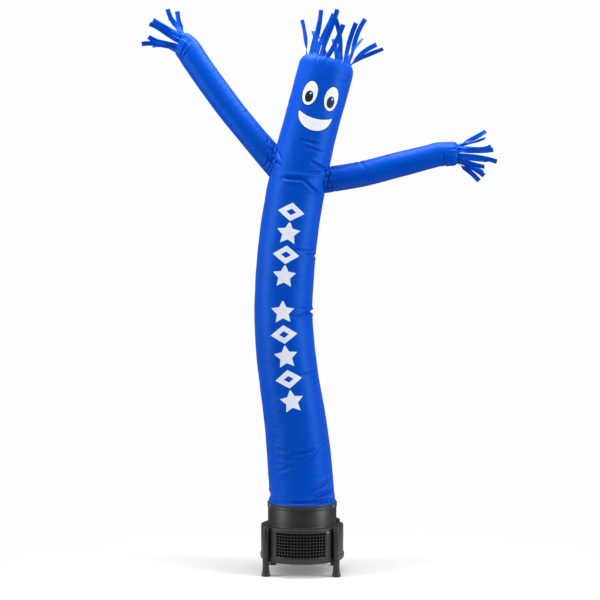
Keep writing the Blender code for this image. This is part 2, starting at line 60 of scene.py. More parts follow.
# %% The blower's axis and radii
collar_low, collar_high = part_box("outlet_collar")
AXIS_X = (collar_low.x + collar_high.x) / 2
wall_low, wall_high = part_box("housing_wall")
DRUM_RADIUS = (wall_high.x - wall_low.x) / 2


def around(angle, radius, height):
    """A point round the blower's axis."""
    turn = math.radians(angle)
    return Vector((AXIS_X + radius * math.sin(turn), -radius * math.cos(turn), height))


print(f"blower axis X = {AXIS_X:.4f}, drum radius {DRUM_RADIUS:.4f}")

# %% [markdown]
# ## The camera
# A figure nearly four metres tall is seen from well back with a long lens, at about a standing
# person's eye height, and held level so that the tube's sides don't lean together.

# %% Set up the camera
CAMERA_DISTANCE = 9.0
CAMERA_SIDE = 2.3  # degrees round to the right of straight ahead
CAMERA_HEIGHT = 1.78
LENS = 82.13
AIM_LEFT = 0.092  # degrees, so that the blower stands just right of the view's middle

bpy.ops.object.camera_add(location=around(CAMERA_SIDE, CAMERA_DISTANCE, CAMERA_HEIGHT))
camera = bpy.context.object
camera.data.lens = LENS
camera.data.sensor_width = 36.0
camera.rotation_euler = (math.radians(90), 0.0, math.radians(CAMERA_SIDE + AIM_LEFT))
bpy.context.scene.camera = camera
print("camera at", [round(c, 3) for c in camera.location])

# %% [markdown]
# ## Writing materials as sums
# A procedural material is a sum of simple patterns, and long chains of nodes are hard to read. So a small
# class wraps a node's output, and ordinary Python arithmetic on it adds the Math nodes. Any other node is
# added by one method, which is told its type, its settings and what goes into its sockets.

# %% A small language for shaders
class Signal:
    """One number that varies over a surface. Arithmetic on it adds Math nodes to the material."""

    def __init__(self, finish, socket):
        self.finish = finish
        self.socket = socket

    def math(self, operation, *values, clamp=False):
        settings = {"operation": operation, "use_clamp": clamp}
        sockets = dict(enumerate((self, *values)))
        return self.finish.node("ShaderNodeMath", settings, sockets)

    def __add__(self, other):
        return self.math("ADD", other)

    def __sub__(self, other):
        return self.math("SUBTRACT", other)

    def __mul__(self, other):
        return self.math("MULTIPLY", other)

    def __truediv__(self, other):
        return self.math("DIVIDE", other)

    def __rsub__(self, other):
        return (self * -1.0) + other

    __radd__ = __add__
    __rmul__ = __mul__

    def __abs__(self):
        return self.math("ABSOLUTE")

    def wave(self, length):
        """A sine with this wavelength."""
        return (self * (2 * math.pi / length)).math("SINE")

    def below(self, edge, soft=0.0008):
        """1 where the value is under the edge, 0 over it, with a short slope between."""
        return ((edge - self) / (2 * soft) + 0.5).math("MULTIPLY", 1.0, clamp=True)

    def above(self, edge, soft=0.0008):
        return ((self - edge) / (2 * soft) + 0.5).math("MULTIPLY", 1.0, clamp=True)

    def near(self, place, reach):
        """1 at the place, falling to 0 at this reach from it."""
        return (1.0 - abs(self - place) / reach).math("MAXIMUM", 0.0)


class Finish:
    """A material on one Principled shader."""

    def __init__(self, name, **constants):
        self.material = bpy.data.materials.new(name)
        self.material.use_nodes = True
        self.tree = self.material.node_tree
        self.shader = self.tree.nodes["Principled BSDF"]
        for socket, value in constants.items():
            self.shader.inputs[socket.replace("_", " ")].default_value = value

    def node(self, kind, settings=None, sockets=None, output=0):
        """Adds a node and gives one of its outputs as a Signal."""
        made = self.tree.nodes.new(kind)
        for setting, value in (settings or {}).items():
            setattr(made, setting, value)
        for socket, value in (sockets or {}).items():
            self.put(made.inputs[socket], value)
        return Signal(self, made.outputs[output])

    def put(self, target, value):
        """Links a signal into a socket, or sets a constant on it."""
        if isinstance(value, Signal):
            self.tree.links.new(value.socket, target)
        else:
            target.default_value = value

    def split(self, vector):
        """The three numbers of a vector."""
        return [self.node("ShaderNodeSeparateXYZ", None, {0: vector}, k) for k in range(3)]

    def place(self, stretch=(1.0, 1.0, 1.0)):
        """The object's own coordinates in metres, stretched."""
        coordinates = self.node("ShaderNodeTexCoord", None, None, "Object")
        return self.stretched(coordinates, stretch)

    def cloth(self, stretch=(1.0, 1.0, 1.0)):
        """The cut cloth's own coordinates in metres: across the sheet, and along it."""
        return self.stretched(self.node("ShaderNodeUVMap", {"uv_map": "cut"}), stretch)

    def stretched(self, vector, stretch):
        return self.node("ShaderNodeMapping", None, {"Vector": vector, "Scale": stretch})

    def noise(self, vector, scale, detail=2.0, roughness=0.5):
        sockets = {"Vector": vector, "Scale": scale, "Detail": detail, "Roughness": roughness}
        return self.node("ShaderNodeTexNoise", None, sockets)

    def mix(self, share, first, second):
        """A colour between two."""
        settings = {"data_type": "RGBA"}
        sockets = {0: share, 6: first, 7: second}
        return self.node("ShaderNodeMix", settings, sockets, 2)

    def surface(self, colour, roughness, *bumps):
        """Feeds the shader. Each bump is a height in metres, the largest first."""
        self.put(self.shader.inputs["Base Color"], colour)
        self.put(self.shader.inputs["Roughness"], roughness)
        normal = None
        for height in bumps:
            sockets = {"Height": height, "Distance": 1.0, "Strength": 1.0}
            if normal is not None:
                sockets["Normal"] = normal
            normal = self.node("ShaderNodeBump", None, sockets)
        if normal is not None:
            self.put(self.shader.inputs["Normal"], normal)
        return self.material


def rgb(red, green, blue):
    return (red, green, blue, 1.0)


print("shader helpers ready")

# %% [markdown]
# ## The nylon
# The tube is light coated nylon: a smooth, strongly coloured cloth with a soft sheen where it turns away
# from the eye. A fine plain weave would only shimmer at full size, so it is a very shallow bump. Wider,
# softer bumps give the slack look of thin cloth held up by air, and the colour drifts a little with them.
# The cloth's own coordinates are used, so that the weave and the stitches run with the sheet.

# %% Blue nylon
BLUE = rgb(0.0003, 0.055, 0.455)
BLUE_LIGHT = rgb(0.0008, 0.069, 0.52)
THREAD_PITCH = 0.0012
STITCH_PITCH = 0.004
STITCH_WIDTH = 0.0012
STITCH_ROWS = (0.012, 0.018)  # how far the two rows stand from an edge
# the heights of the cloth's bumps, in metres
SLACK, CRINKLE, PLEAT, STITCH, WEAVE, INK = 0.0034, 0.0006, 0.003, 0.0004, 0.000002, 0.0001


def weave(across, along):
    """A plain weave: two sets of threads, over and under."""
    return across.wave(THREAD_PITCH) * along.wave(THREAD_PITCH)


def stitches(across, distance_to_row):
    """A row of stitches, where the distance to it is near 0."""
    dashes = (across.wave(STITCH_PITCH) * 1.5 + 0.4).math("MAXIMUM", 0.0).math("MINIMUM", 1.0)
    return distance_to_row.near(0.0, STITCH_WIDTH) * dashes


def nylon(name, rows=(), reach=0.05, prints=None):
    """Blue nylon cloth, with rows of stitches across it at these places along the sheet."""
    finish = Finish(
        name,
        Specular_IOR_Level=0.30,
        Specular_Tint=rgb(0.06, 0.40, 1.0),
        Sheen_Weight=0.10,
        Sheen_Roughness=0.35,
        Sheen_Tint=rgb(0.30, 0.52, 1.0),
    )
    across, along, _none = finish.split(finish.cloth())
    drift = finish.noise(finish.cloth((1.0, 0.6, 1.0)), 5.0, 3.0)
    slack = finish.noise(finish.cloth((1.0, 2.2, 1.0)), 14.0, 3.0, 0.55)
    crinkle = finish.noise(finish.cloth((0.8, 2.6, 1.0)), 48.0, 2.0, 0.5)
    gathers = 0.0
    sewn = 0.0
    for place, side in rows:
        distance = (along - place) * side
        fading = distance.near(0.0, reach)
        pleats = finish.noise(finish.cloth((34.0, 3.0, 1.0)), 1.0, 2.0, 0.6)
        gathers = fading * fading * pleats + gathers
        first, second = (stitches(across, distance - row) for row in STITCH_ROWS)
        sewn = first + second + sewn
    height = slack * SLACK + crinkle * CRINKLE
    if rows:
        height = height + gathers * PLEAT + sewn * STITCH
    colour = finish.mix(drift, BLUE, BLUE_LIGHT)
    roughness = 0.36 + slack * 0.12
    fine = weave(across, along) * WEAVE
    if prints is not None:
        colour, roughness, raised = prints(finish, across, along, colour, roughness)
        fine = fine + raised * INK
    return finish.surface(colour, roughness, height, fine)


print("nylon ready")

# %% [markdown]
# ## Tubes of cloth
# A sewn tube follows a curve, and its girth changes a little along it. A short table of rows gives the
# curve, and a smooth function runs through the rows without overshooting them. A point on the cloth is
# found from its place along the tube and its angle round it. The same few rows shaped the solid model, so
# the fine cloth lies on it.

# %% A cloth tube along a curve
SLOPE_STEP = 0.004  # the distance over which a tube's direction is measured


class Tube:
    """A tube in the plane Y = 0. s is the distance along it, and angles start at the front."""

    def __init__(self, rows, folds=()):
        leans, heights, diameters = (np.array(column, float) for column in zip(*rows))
        self.x = AXIS_X + leans
        self.z = heights
        self.diameter = diameters
        self.s = np.concatenate([[0.0], np.cumsum(np.hypot(np.diff(self.x), np.diff(self.z)))])
        self.folds = folds
        self.length = float(self.s[-1])

    def through(self, values, at):
        """A smooth curve through the rows' values that never overshoots them."""
        steps = np.diff(self.s)
        slopes = np.diff(values) / steps
        tangents = np.zeros(len(values))
        tangents[0], tangents[-1] = slopes[0], slopes[-1]
        product = slopes[:-1] * slopes[1:]
        total = slopes[:-1] + slopes[1:]
        tangents[1:-1] = np.where(product > 0, 2 * product / np.where(product > 0, total, 1.0), 0.0)
        k = np.clip(np.searchsorted(self.s, at, side="left") - 1, 0, len(steps) - 1)
        inside = np.clip(at, self.s[0], self.s[-1])
        t = (inside - self.s[k]) / steps[k]
        value = (1 + 2 * t) * (1 - t) ** 2 * values[k] + t * (1 - t) ** 2 * steps[k] * tangents[k]
        value += t * t * (3 - 2 * t) * values[k + 1] + t * t * (t - 1) * steps[k] * tangents[k + 1]
        end = np.where(at < inside, tangents[0], tangents[-1])
        return value + (at - inside) * end

    def height(self, s):
        return self.through(self.z, np.asarray(s, float))

    def at_height(self, height):
        """The place along the tube whose centre has this height."""
        s = np.linspace(0.0, self.length, 4000)
        return float(np.interp(height, self.height(s), s))

    def frame_at(self, s):
        """The centre, and the direction across the tube in its own plane, at each s."""
        s = np.asarray(s, float)
        x, z = self.through(self.x, s), self.height(s)
        along_x = self.through(self.x, s + SLOPE_STEP) - self.through(self.x, s - SLOPE_STEP)
        along_z = self.height(s + SLOPE_STEP) - self.height(s - SLOPE_STEP)
        size = np.hypot(along_x, along_z)
        return x, z, along_x / size, along_z / size

    def radius(self, s, angle):
        """The middle surface's radius, with the folds."""
        s, angle = np.broadcast_arrays(np.asarray(s, float), np.asarray(angle, float))
        base = self.through(self.diameter, s) / 2
        offset = np.zeros_like(base)
        for fold in self.folds:
            offset = offset + fold(s, angle, base)
        return base + offset

    def points(self, s, angle, offset=0.0):
        """Points on the cloth, as an array of x, y, z."""
        s, angle = np.broadcast_arrays(np.asarray(s, float), np.asarray(angle, float))
        x, z, along_x, along_z = self.frame_at(s)
        radius = self.radius(s, angle) + offset
        side = np.sin(np.radians(angle)) * radius
        front = np.cos(np.radians(angle)) * radius
        return np.stack([x + along_z * side, -front, z - along_x * side], axis=-1)

    def locate(self, places):
        """The s and the angle of each place, and how far outside the cloth's middle it lies."""
        s = np.full(places.shape[:-1], self.length / 2)
        for _ in range(12):
            x, z, along_x, along_z = self.frame_at(s)
            s = s + (places[..., 0] - x) * along_x + (places[..., 2] - z) * along_z
        x, z, along_x, along_z = self.frame_at(s)
        side = (places[..., 0] - x) * along_z - (places[..., 2] - z) * along_x
        angle = np.degrees(np.arctan2(side, -places[..., 1]))
        return s, angle, np.hypot(side, places[..., 1]) - self.radius(s, angle)


def turn_from(angle, middle):
    """Degrees from the middle, between -180 and 180."""
    return (angle - middle + 180.0) % 360.0 - 180.0


print("tube helper ready")

# %% [markdown]
# ## Creases
# Where air-filled cloth bends or is held, it folds into soft troughs with a raised shoulder on each side.
# A simulation would fold it somewhere else each time, so the main creases are placed one by one: one row of
# a table each, with the trough's place, its reach, its depth and how it slants or bows. Between them the
# cloth is never quite even, so a few slow waves run over it as well.

# %% How a crease and a slow wave change the radius
CREASE_COLUMNS = ("height", "angle", "half_turn", "half_height", "depth", "slope", "bow")
CREASE_STRENGTH = 2.2
SHOULDER_PLACE = 1.3  # of the trough's half height


def trough_shape(across, shoulder):
    """A soft trough with a raised shoulder on each side of it."""
    raised = shoulder * np.exp(-(((np.abs(across) - SHOULDER_PLACE) * 2.0) ** 2))
    return raised - np.exp(-np.abs(1.6 * across) ** 1.5)


class Crease:
    """A soft trough across a tube, from one row of a table."""

    def __init__(self, tube_height, row):
        self.row = dict(zip(CREASE_COLUMNS, row))
        self.tube_height = tube_height

    def __call__(self, s, angle, radius):
        row = self.row
        turn = turn_from(angle, row["angle"])
        arc = np.radians(turn) * radius
        rise = self.tube_height(s) - row["height"] - row["slope"] * arc - row["bow"] * arc * arc
        across = rise / row["half_height"]
        share = np.clip(1 - (turn / row["half_turn"]) ** 2, 0.0, 1.0)
        return CREASE_STRENGTH * row["depth"] * trough_shape(across, 0.4) * share


class Waves:
    """Slow, uneven waves, the same each time for the same seed. Each is (turns round, waves a metre)."""

    def __init__(self, seed, size, count=7, turns=4, per_metre=5.0):
        draw = np.random.default_rng(seed)
        self.size = size / math.sqrt(count)
        self.round = draw.integers(1, turns + 1, count)
        self.along = draw.uniform(-per_metre, per_metre, count) * 2 * math.pi
        self.start = draw.uniform(0, 2 * math.pi, count)

    def __call__(self, s, angle, radius):
        total = 0.0
        for turns, along, start in zip(self.round, self.along, self.start):
            total = total + np.sin(np.radians(angle) * turns + s * along + start)
        return self.size * total


class Gathers:
    """Puckers that run along the tube from a sewn edge and fade away from it."""

    def __init__(self, seed, edge, reach, size, pleats):
        draw = np.random.default_rng(seed)
        self.edge, self.reach, self.size = edge, reach, size
        self.pleats = draw.integers(pleats[0], pleats[1], 9)
        self.start = draw.uniform(0, 2 * math.pi, 9)
        self.lean = draw.uniform(-25, 25, 9)

    def __call__(self, s, angle, radius):
        away = np.abs(s - self.edge)
        fade = np.clip(1 - away / self.reach, 0.0, 1.0) ** 2
        total = 0.0
        for pleats, start, lean in zip(self.pleats, self.start, self.lean):
            total = total + np.sin(np.radians(angle) * pleats + start + away * lean)
        return self.size * fade * (total / 3.0 - 0.35)


print("crease helpers ready")

# %% [markdown]
# ## Turning tubes into sheets of cloth
# The mesh is rings of points that are joined by four-sided faces. The rings stand close together where
# the cloth creases and further apart where it is smooth. Each face corner also stores its place on the cut
# cloth, in metres across and along, which the print, the weave and the stitches follow. A Solidify
# modifier gives the sheet its thickness at the end.

# %% Ring places and the sheet
NYLON_THICKNESS = 0.0012


def ring_places(tube, spacing_rows):
    """Places along the tube, as close together as the (height, spacing) rows say."""
    s = np.linspace(0.0, tube.length, 6000)
    heights, spacings = zip(*spacing_rows)
    density = 1.0 / np.interp(tube.height(s), heights, spacings)
    total = np.concatenate([[0.0], np.cumsum((density[1:] + density[:-1]) / 2 * np.diff(s))])
    count = math.ceil(total[-1])
    return np.interp(np.linspace(0.0, total[-1], count + 1), total, s)


def object_from(bm, name):
    """Turns the working mesh into an object of the scene."""
    mesh = bpy.data.meshes.new(name)
    bm.to_mesh(mesh)
    bm.free()
    made = bpy.data.objects.new(name, mesh)
    bpy.context.scene.collection.objects.link(made)
    return made


def cut_quad(bm, cut, corners, places):
    """A smooth four-sided face, with each corner's place on the cut cloth."""
    face = bm.faces.new(corners)
    face.smooth = True
    for loop, place in zip(face.loops, places):
        loop[cut].uv = place


def mesh_of_rings(name, points, across, along, keep=None):
    """A sheet from rings of points. across and along are the places on the cut cloth, one column more."""
    rings, sides = points.shape[:2]
    bm = bmesh.new()
    cut = bm.loops.layers.uv.new("cut")
    corners = [[bm.verts.new(p) for p in ring] for ring in points]
    for i in range(rings - 1):
        for k in range(sides):
            if keep is not None and not keep[i, k]:
                continue
            n = (k + 1) % sides
            face = (corners[i][k], corners[i][n], corners[i + 1][n], corners[i + 1][k])
            spots = ((i, k), (i, k + 1), (i + 1, k + 1), (i + 1, k))
            cut_quad(bm, cut, face, [(across[spot], along[spot]) for spot in spots])
    loose = [v for v in bm.verts if not v.link_faces]
    bmesh.ops.delete(bm, geom=loose, context="VERTS")
    return object_from(bm, name)


def pick(piece):
    """Makes this piece the only one that is selected."""
    bpy.ops.object.select_all(action="DESELECT")
    piece.select_set(True)
    bpy.context.view_layer.objects.active = piece


def apply_modifier(piece, kind, **settings):
    pick(piece)
    change = piece.modifiers.new(kind.title(), kind)
    for setting, value in settings.items():
        setattr(change, setting, value)
    bpy.ops.object.modifier_apply(modifier=change.name)


def triangles(piece):
    return sum(len(face.vertices) - 2 for face in piece.data.polygons)


def finish_piece(piece, material, slot, *nodes):
    """Gives a piece its material, and says which nodes of the model it stands for. The slot is not used."""
    piece.data.materials.clear()
    piece.data.materials.append(material)
    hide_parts(*nodes)
    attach(piece, "root")
    print(f"{piece.name}: {triangles(piece)} triangles")
    return piece


print("sheet helpers ready")

# %% [markdown]
# ## The body tube's shape
# The tube leaves the blower upright, leans back to the left in a long slow bend, and then swings over to
# the right at the head. Its girth falls by a fifth on the way up. The last rows draw it in at the clamped
# hem and at the mouth of the head.

# %% Rows of the body tube and the sleeves
#   lean from the blower's axis, height, diameter of the cloth's middle
BODY_ROWS = (
    (0.000, 0.427, 0.4462),
    (0.000, 0.459, 0.4462),
    (0.000, 0.476, 0.4290),
    (-0.002, 0.520, 0.4240),
    (-0.016, 0.720, 0.4200),
    (-0.046, 0.990, 0.4080),
    (-0.084, 1.250, 0.3920),
    (-0.114, 1.520, 0.3860),
    (-0.125, 1.714, 0.3800),
    (-0.116, 1.910, 0.3820),
    (-0.093, 2.170, 0.3840),
    (-0.054, 2.440, 0.3800),
    (0.001, 2.700, 0.3700),
    (0.066, 2.960, 0.3620),
    (0.131, 3.200, 0.3630),
    (0.155, 3.290, 0.3620),
    (0.163, 3.318, 0.3520),
    (0.168, 3.337, 0.3340),
    (0.171, 3.349, 0.3100),
)
LEFT_SLEEVE_ROWS = (
    (-0.080, 2.565, 0.172),
    (-0.361, 2.898, 0.172),
    (-0.518, 3.095, 0.172),
    (-0.7135, 3.3725, 0.171),
    (-0.7420, 3.4180, 0.170),
    (-0.7650, 3.4480, 0.166),
    (-0.7860, 3.4670, 0.158),
    (-0.8020, 3.4765, 0.142),
)
RIGHT_SLEEVE_ROWS = (
    (0.060, 2.552, 0.166),
    (0.281, 2.587, 0.166),
    (0.380, 2.604, 0.165),
    (0.643, 2.670, 0.164),
    (0.840, 2.719, 0.157),
    (0.906, 2.734, 0.157),
    (0.985, 2.735, 0.156),
    (1.003, 2.735, 0.148),
    (1.011, 2.735, 0.136),
)
plain_body = Tube(BODY_ROWS)
left_sleeve = Tube(LEFT_SLEEVE_ROWS)
right_sleeve = Tube(RIGHT_SLEEVE_ROWS)
for tube_name, tube in (("body", plain_body), ("left sleeve", left_sleeve), ("right sleeve", right_sleeve)):
    print(f"{tube_name} {tube.length:.3f} m long")

# %% [markdown]
# ## Where the body creases
# Low down, the cloth slackens above the clamp band and folds a hand's breadth higher. The long bend kinks
# its right side twice. Across the chest, the two sleeves pull the cloth apart and leave a fan of folds.
# Heights are in metres, angles in degrees, and a slope lifts a crease towards +X.

# %% The body's creases
#   height, angle, half_turn, half_height, depth, slope, bow
BODY_CREASES = (
    # slack above the band
    (0.478, -2, 36, 0.012, 0.0050, 0.02, 0.3),
    (0.480, 42, 38, 0.014, 0.0080, 0.04, 0.0),
    (0.484, -60, 30, 0.011, 0.0030, -0.10, 0.0),
    (0.524, 48, 36, 0.019, 0.0092, 0.18, 0.0),
    (0.560, 32, 24, 0.016, 0.0054, 0.34, 0.0),
    (0.594, 54, 22, 0.018, 0.0066, 0.30, 0.0),
    (0.516, -92, 44, 0.024, 0.0034, 0.00, 0.0),
    (0.505, 140, 50, 0.016, 0.0050, -0.12, 0.0),
    (0.540, -150, 46, 0.015, 0.0045, 0.15, 0.0),
    # the folds a hand's breadth higher
    (0.822, -34, 26, 0.014, 0.0060, -0.14, 0.0),
    (0.792, 8, 26, 0.014, 0.0062, 0.10, 0.8),
    (0.762, -20, 26, 0.013, 0.0056, -0.10, 0.0),
    (0.776, 34, 28, 0.014, 0.0050, 0.52, 0.0),
    (0.700, -22, 26, 0.014, 0.0034, 0.30, 0.0),
    (0.735, 150, 60, 0.015, 0.0040, 0.08, 0.0),
    (0.800, -140, 50, 0.014, 0.0036, -0.10, 0.0),
    # the long bend's right side
    (1.285, 52, 40, 0.015, 0.0036, 0.10, 0.0),
    (1.252, 70, 30, 0.013, 0.0022, -0.10, 0.0),
    (1.700, 84, 34, 0.018, 0.0078, 0.06, 0.0),
    (1.696, 66, 30, 0.012, 0.0050, 0.10, 0.0),
    (1.674, 44, 26, 0.012, 0.0040, 0.14, 0.0),
    (1.730, 58, 30, 0.012, 0.0024, 0.05, 0.0),
    (1.762, 72, 28, 0.012, 0.0018, 0.00, 0.0),
    (2.113, 52, 46, 0.011, 0.0034, 0.04, 0.0),
    (2.090, 66, 42, 0.014, 0.0050, -0.05, 0.0),
    (1.690, 140, 44, 0.015, 0.0050, -0.10, 0.0),
    (2.085, 130, 50, 0.015, 0.0050, -0.10, 0.0),
    # the chest, between the sleeves
    (2.805, 10, 20, 0.012, 0.0034, 0.00, 0.0),
    (2.766, 24, 22, 0.012, 0.0040, -0.03, 0.0),
    (2.668, 50, 32, 0.015, 0.0064, -0.16, 0.0),
    (2.632, 42, 30, 0.013, 0.0050, 0.28, 0.0),
    (2.560, -6, 30, 0.018, 0.0078, 0.10, 0.3),
    (2.530, 34, 34, 0.014, 0.0060, -0.44, 0.0),
    (2.500, 46, 36, 0.012, 0.0038, -0.44, 0.0),
    (2.704, -60, 26, 0.016, 0.0060, -0.62, 0.0),
    (2.642, -58, 26, 0.015, 0.0056, -0.26, 0.0),
    (2.600, 176, 46, 0.016, 0.0055, 0.05, 0.0),
    (2.700, 160, 40, 0.015, 0.0040, 0.25, 0.0),
    (2.520, -150, 40, 0.014, 0.0040, -0.25, 0.0),
    # the head
    (3.235, 60, 34, 0.016, 0.0018, 0.20, 0.0),
    (3.020, -70, 30, 0.016, 0.0016, 0.10, 0.0),
)
BODY_FOLDS = [Crease(plain_body.height, row) for row in BODY_CREASES]
BODY_FOLDS += [
    Waves(11, 0.0016, 9, 4, 1.6),
    Waves(12, 0.0005, 9, 9, 7.0),
    Gathers(13, plain_body.at_height(0.459), 0.060, 0.0030, (14, 44)),
    Gathers(14, plain_body.length, 0.090, 0.0044, (12, 40)),
]
body = Tube(BODY_ROWS, BODY_FOLDS)
print(len(BODY_CREASES), "creases on the body")

# %% [markdown]
# ## Sewing a sleeve to the body
# Each sleeve starts on a line that goes round it like a saddle, where it meets the body tube's side. The
# line is found by walking out along the sleeve, at each angle, until the point is just outside the body.
# The sleeves carry their own creases: bands that run beside the seam, and gathers at the wrist.

# %% The saddle line and the sleeves' creases
SEAM_CLEAR = 0.0010  # from the body's middle surface to the sleeve's, where they are sewn
SLEEVE_PLEATS = (7, 24)  # the fewest and the most puckers round a sleeve


def saddle(sleeve, angles):
    """Where each of the sleeve's lines leaves the body tube."""
    low = np.zeros(len(angles))
    high = np.full(len(angles), 0.45 * sleeve.length)
    for _ in range(26):
        middle = (low + high) / 2
        _s, _angle, outside = body.locate(sleeve.points(middle, angles))
        inside = outside < SEAM_CLEAR
        low, high = np.where(inside, middle, low), np.where(inside, high, middle)
    return high


class SeamBand:
    """A trough beside the seam, which follows the saddle line at a little distance."""

    def __init__(self, root_of, away, reach, depth, angle, half_turn, slant=0.0):
        self.root_of, self.away, self.reach, self.depth = root_of, away, reach, depth
        self.angle, self.half_turn, self.slant = angle, half_turn, slant

    def __call__(self, s, angle, radius):
        turn = turn_from(angle, self.angle)
        across = (s - self.root_of(angle) - self.away - self.slant * np.radians(turn)) / self.reach
        share = np.clip(1 - (turn / self.half_turn) ** 2, 0.0, 1.0)
        return self.depth * trough_shape(across, 0.45) * share


class RootGathers(Gathers):
    """Gathers that start at the saddle line."""

    def __init__(self, root_of, seed, reach, size):
        super().__init__(seed, 0.0, reach, size, SLEEVE_PLEATS)
        self.root_of = root_of

    def __call__(self, s, angle, radius):
        return super().__call__(np.maximum(s - self.root_of(angle), 0.0), angle, radius)


def root_line(sleeve):
    """The saddle line as a function of the angle."""
    angles = np.arange(-180.0, 181.0, 3.0)
    places = saddle(sleeve, angles)
    return lambda angle: np.interp(turn_from(np.asarray(angle, float), 0.0), angles, places)


def crease_at(s, angle, half_turn, reach, depth, slant=0.0):
    """A trough across a sleeve at a place along it."""
    return SeamBand(lambda _angle: s, 0.0, reach, depth, angle, half_turn, slant)


left_root, right_root = root_line(left_sleeve), root_line(right_sleeve)
left_end, right_end = left_sleeve.length, right_sleeve.length
left_sleeve.folds = [
    RootGathers(left_root, 21, 0.130, 0.0062),
    SeamBand(left_root, 0.022, 0.014, 0.0060, 10, 80),
    SeamBand(left_root, 0.052, 0.015, 0.0050, -40, 60, -0.02),
    SeamBand(left_root, 0.085, 0.016, 0.0030, 40, 60, 0.03),
    crease_at(left_end - 0.070, -20, 60, 0.014, 0.0060, 0.03),
    crease_at(left_end - 0.105, -30, 50, 0.013, 0.0044, 0.03),
    Gathers(22, left_end, 0.120, 0.0060, SLEEVE_PLEATS),
    Waves(23, 0.0010, 8, 3, 4.0),
]
right_sleeve.folds = [
    RootGathers(right_root, 31, 0.110, 0.0058),
    SeamBand(right_root, 0.020, 0.013, 0.0055, 0, 90),
    SeamBand(right_root, 0.048, 0.014, 0.0040, 50, 60, 0.02),
    crease_at(0.345, -60, 50, 0.016, 0.0040, 0.02),
    crease_at(0.380, -80, 40, 0.012, 0.0026, -0.02),
    crease_at(right_end - 0.085, 60, 70, 0.014, 0.0050, 0.01),
    crease_at(right_end - 0.110, 100, 50, 0.012, 0.0030, -0.02),
    Gathers(32, right_end, 0.100, 0.0052, SLEEVE_PLEATS),
    Waves(33, 0.0010, 8, 3, 4.0),
]
print(f"left seam from {left_root(0.0):.3f}, right seam from {right_root(0.0):.3f} m along the sleeves")

# %% [markdown]
# ## The print on the cloth
# The face and the column of shapes are printed on the flat cloth before it is sewn, so they are drawn in
# the cloth's own coordinates and bend with every crease. Each shape is a distance turned into a mask: an
# ellipse for an eye, two curves for the smile, a folded wedge for a star. A dark line edges the face's
# parts.
# Stars and lozenges fill the front in two groups.

# %% Sizes of the print
FACE_ANGLE = 8.0
FACE_HEIGHT = 3.102
EYE_APART = 0.0750  # from the face's middle to each eye's
EYE_HALF = (0.0495, 0.079)
PUPIL_HALF = (0.0280, 0.039)
PUPIL_DROP = 0.022
GLINT_HALF = 0.007
MOUTH_DROP = 0.121
MOUTH_HALF = 0.117
MOUTH_SAG = 0.031
MOUTH_DEPTH = 0.108
OUTLINE = 0.0055
SHAPE_ANGLE = 2.0
SHAPE_GROUPS = ((1.864, 2.417, 4), (1.054, 1.774, 5))  # from, to and how many in each
STAR_RADIUS = 0.080
STAR_WAIST = 0.50  # the inner corners' distance from the middle, as a share of the points'
LOZENGE_HALF = (0.088, 0.060)
LOZENGE_HOLE = 0.36

PRINT_WHITE = rgb(0.79, 0.82, 0.90)
PUPIL_BLACK = rgb(0.013, 0.014, 0.017)
OUTLINE_NAVY = rgb(0.004, 0.018, 0.10)


def arc_at(angle, height):
    """Where a print at this angle and height lies on the cut cloth."""
    s = body.at_height(height)
    return math.radians(angle) * float(plain_body.radius(s, 0.0)), s


def ellipse(across, along, middle, half):
    """The distance from an ellipse's middle as a share of its edge."""
    x = (across - middle[0]) / half[0]
    y = (along - middle[1]) / half[1]
    return (x * x + y * y).math("SQRT")


def star(across, along):
    """A mask of a five-pointed star about 0, 0. One point is folded onto all the others."""
    angle = across.math("ARCTAN2", along)
    wedge = abs((angle + math.pi / 5).math("FLOORED_MODULO", 2 * math.pi / 5) - math.pi / 5)
    distance = (across * across + along * along).math("SQRT")
    x, y = distance * wedge.math("COSINE"), distance * wedge.math("SINE")
    inner_x = STAR_RADIUS * STAR_WAIST * math.cos(math.pi / 5)
    inner_y = STAR_RADIUS * STAR_WAIST * math.sin(math.pi / 5)
    edge = math.hypot(STAR_RADIUS - inner_x, inner_y)
    past = ((x - STAR_RADIUS) * inner_y + y * (STAR_RADIUS - inner_x)) / edge
    return past.below(0.0)


def lozenge(across, along):
    """A mask of a lozenge with a hole of its own shape."""
    share = abs(across) / LOZENGE_HALF[0] + abs(along) / LOZENGE_HALF[1]
    return share.below(1.0, 0.012) * share.above(LOZENGE_HOLE, 0.012)


def motif(across, along):
    """The column of stars and lozenges in its two groups."""
    total = 0.0
    for low, high, count in SHAPE_GROUPS:
        middle, start = arc_at(SHAPE_ANGLE, low)
        end = arc_at(SHAPE_ANGLE, high)[1]
        pitch = (end - start) / count
        x = across - middle
        y = along - start
        cell = y.math("FLOORED_MODULO", pitch) - pitch / 2
        second = (y.math("FLOORED_MODULO", 2 * pitch) - pitch).above(0.0, 0.0001)
        inside = y.above(0.0) * y.below(end - start)
        shape = star(x, cell) * (1.0 - second) + lozenge(x, cell) * second
        total = shape * inside + total
    return total


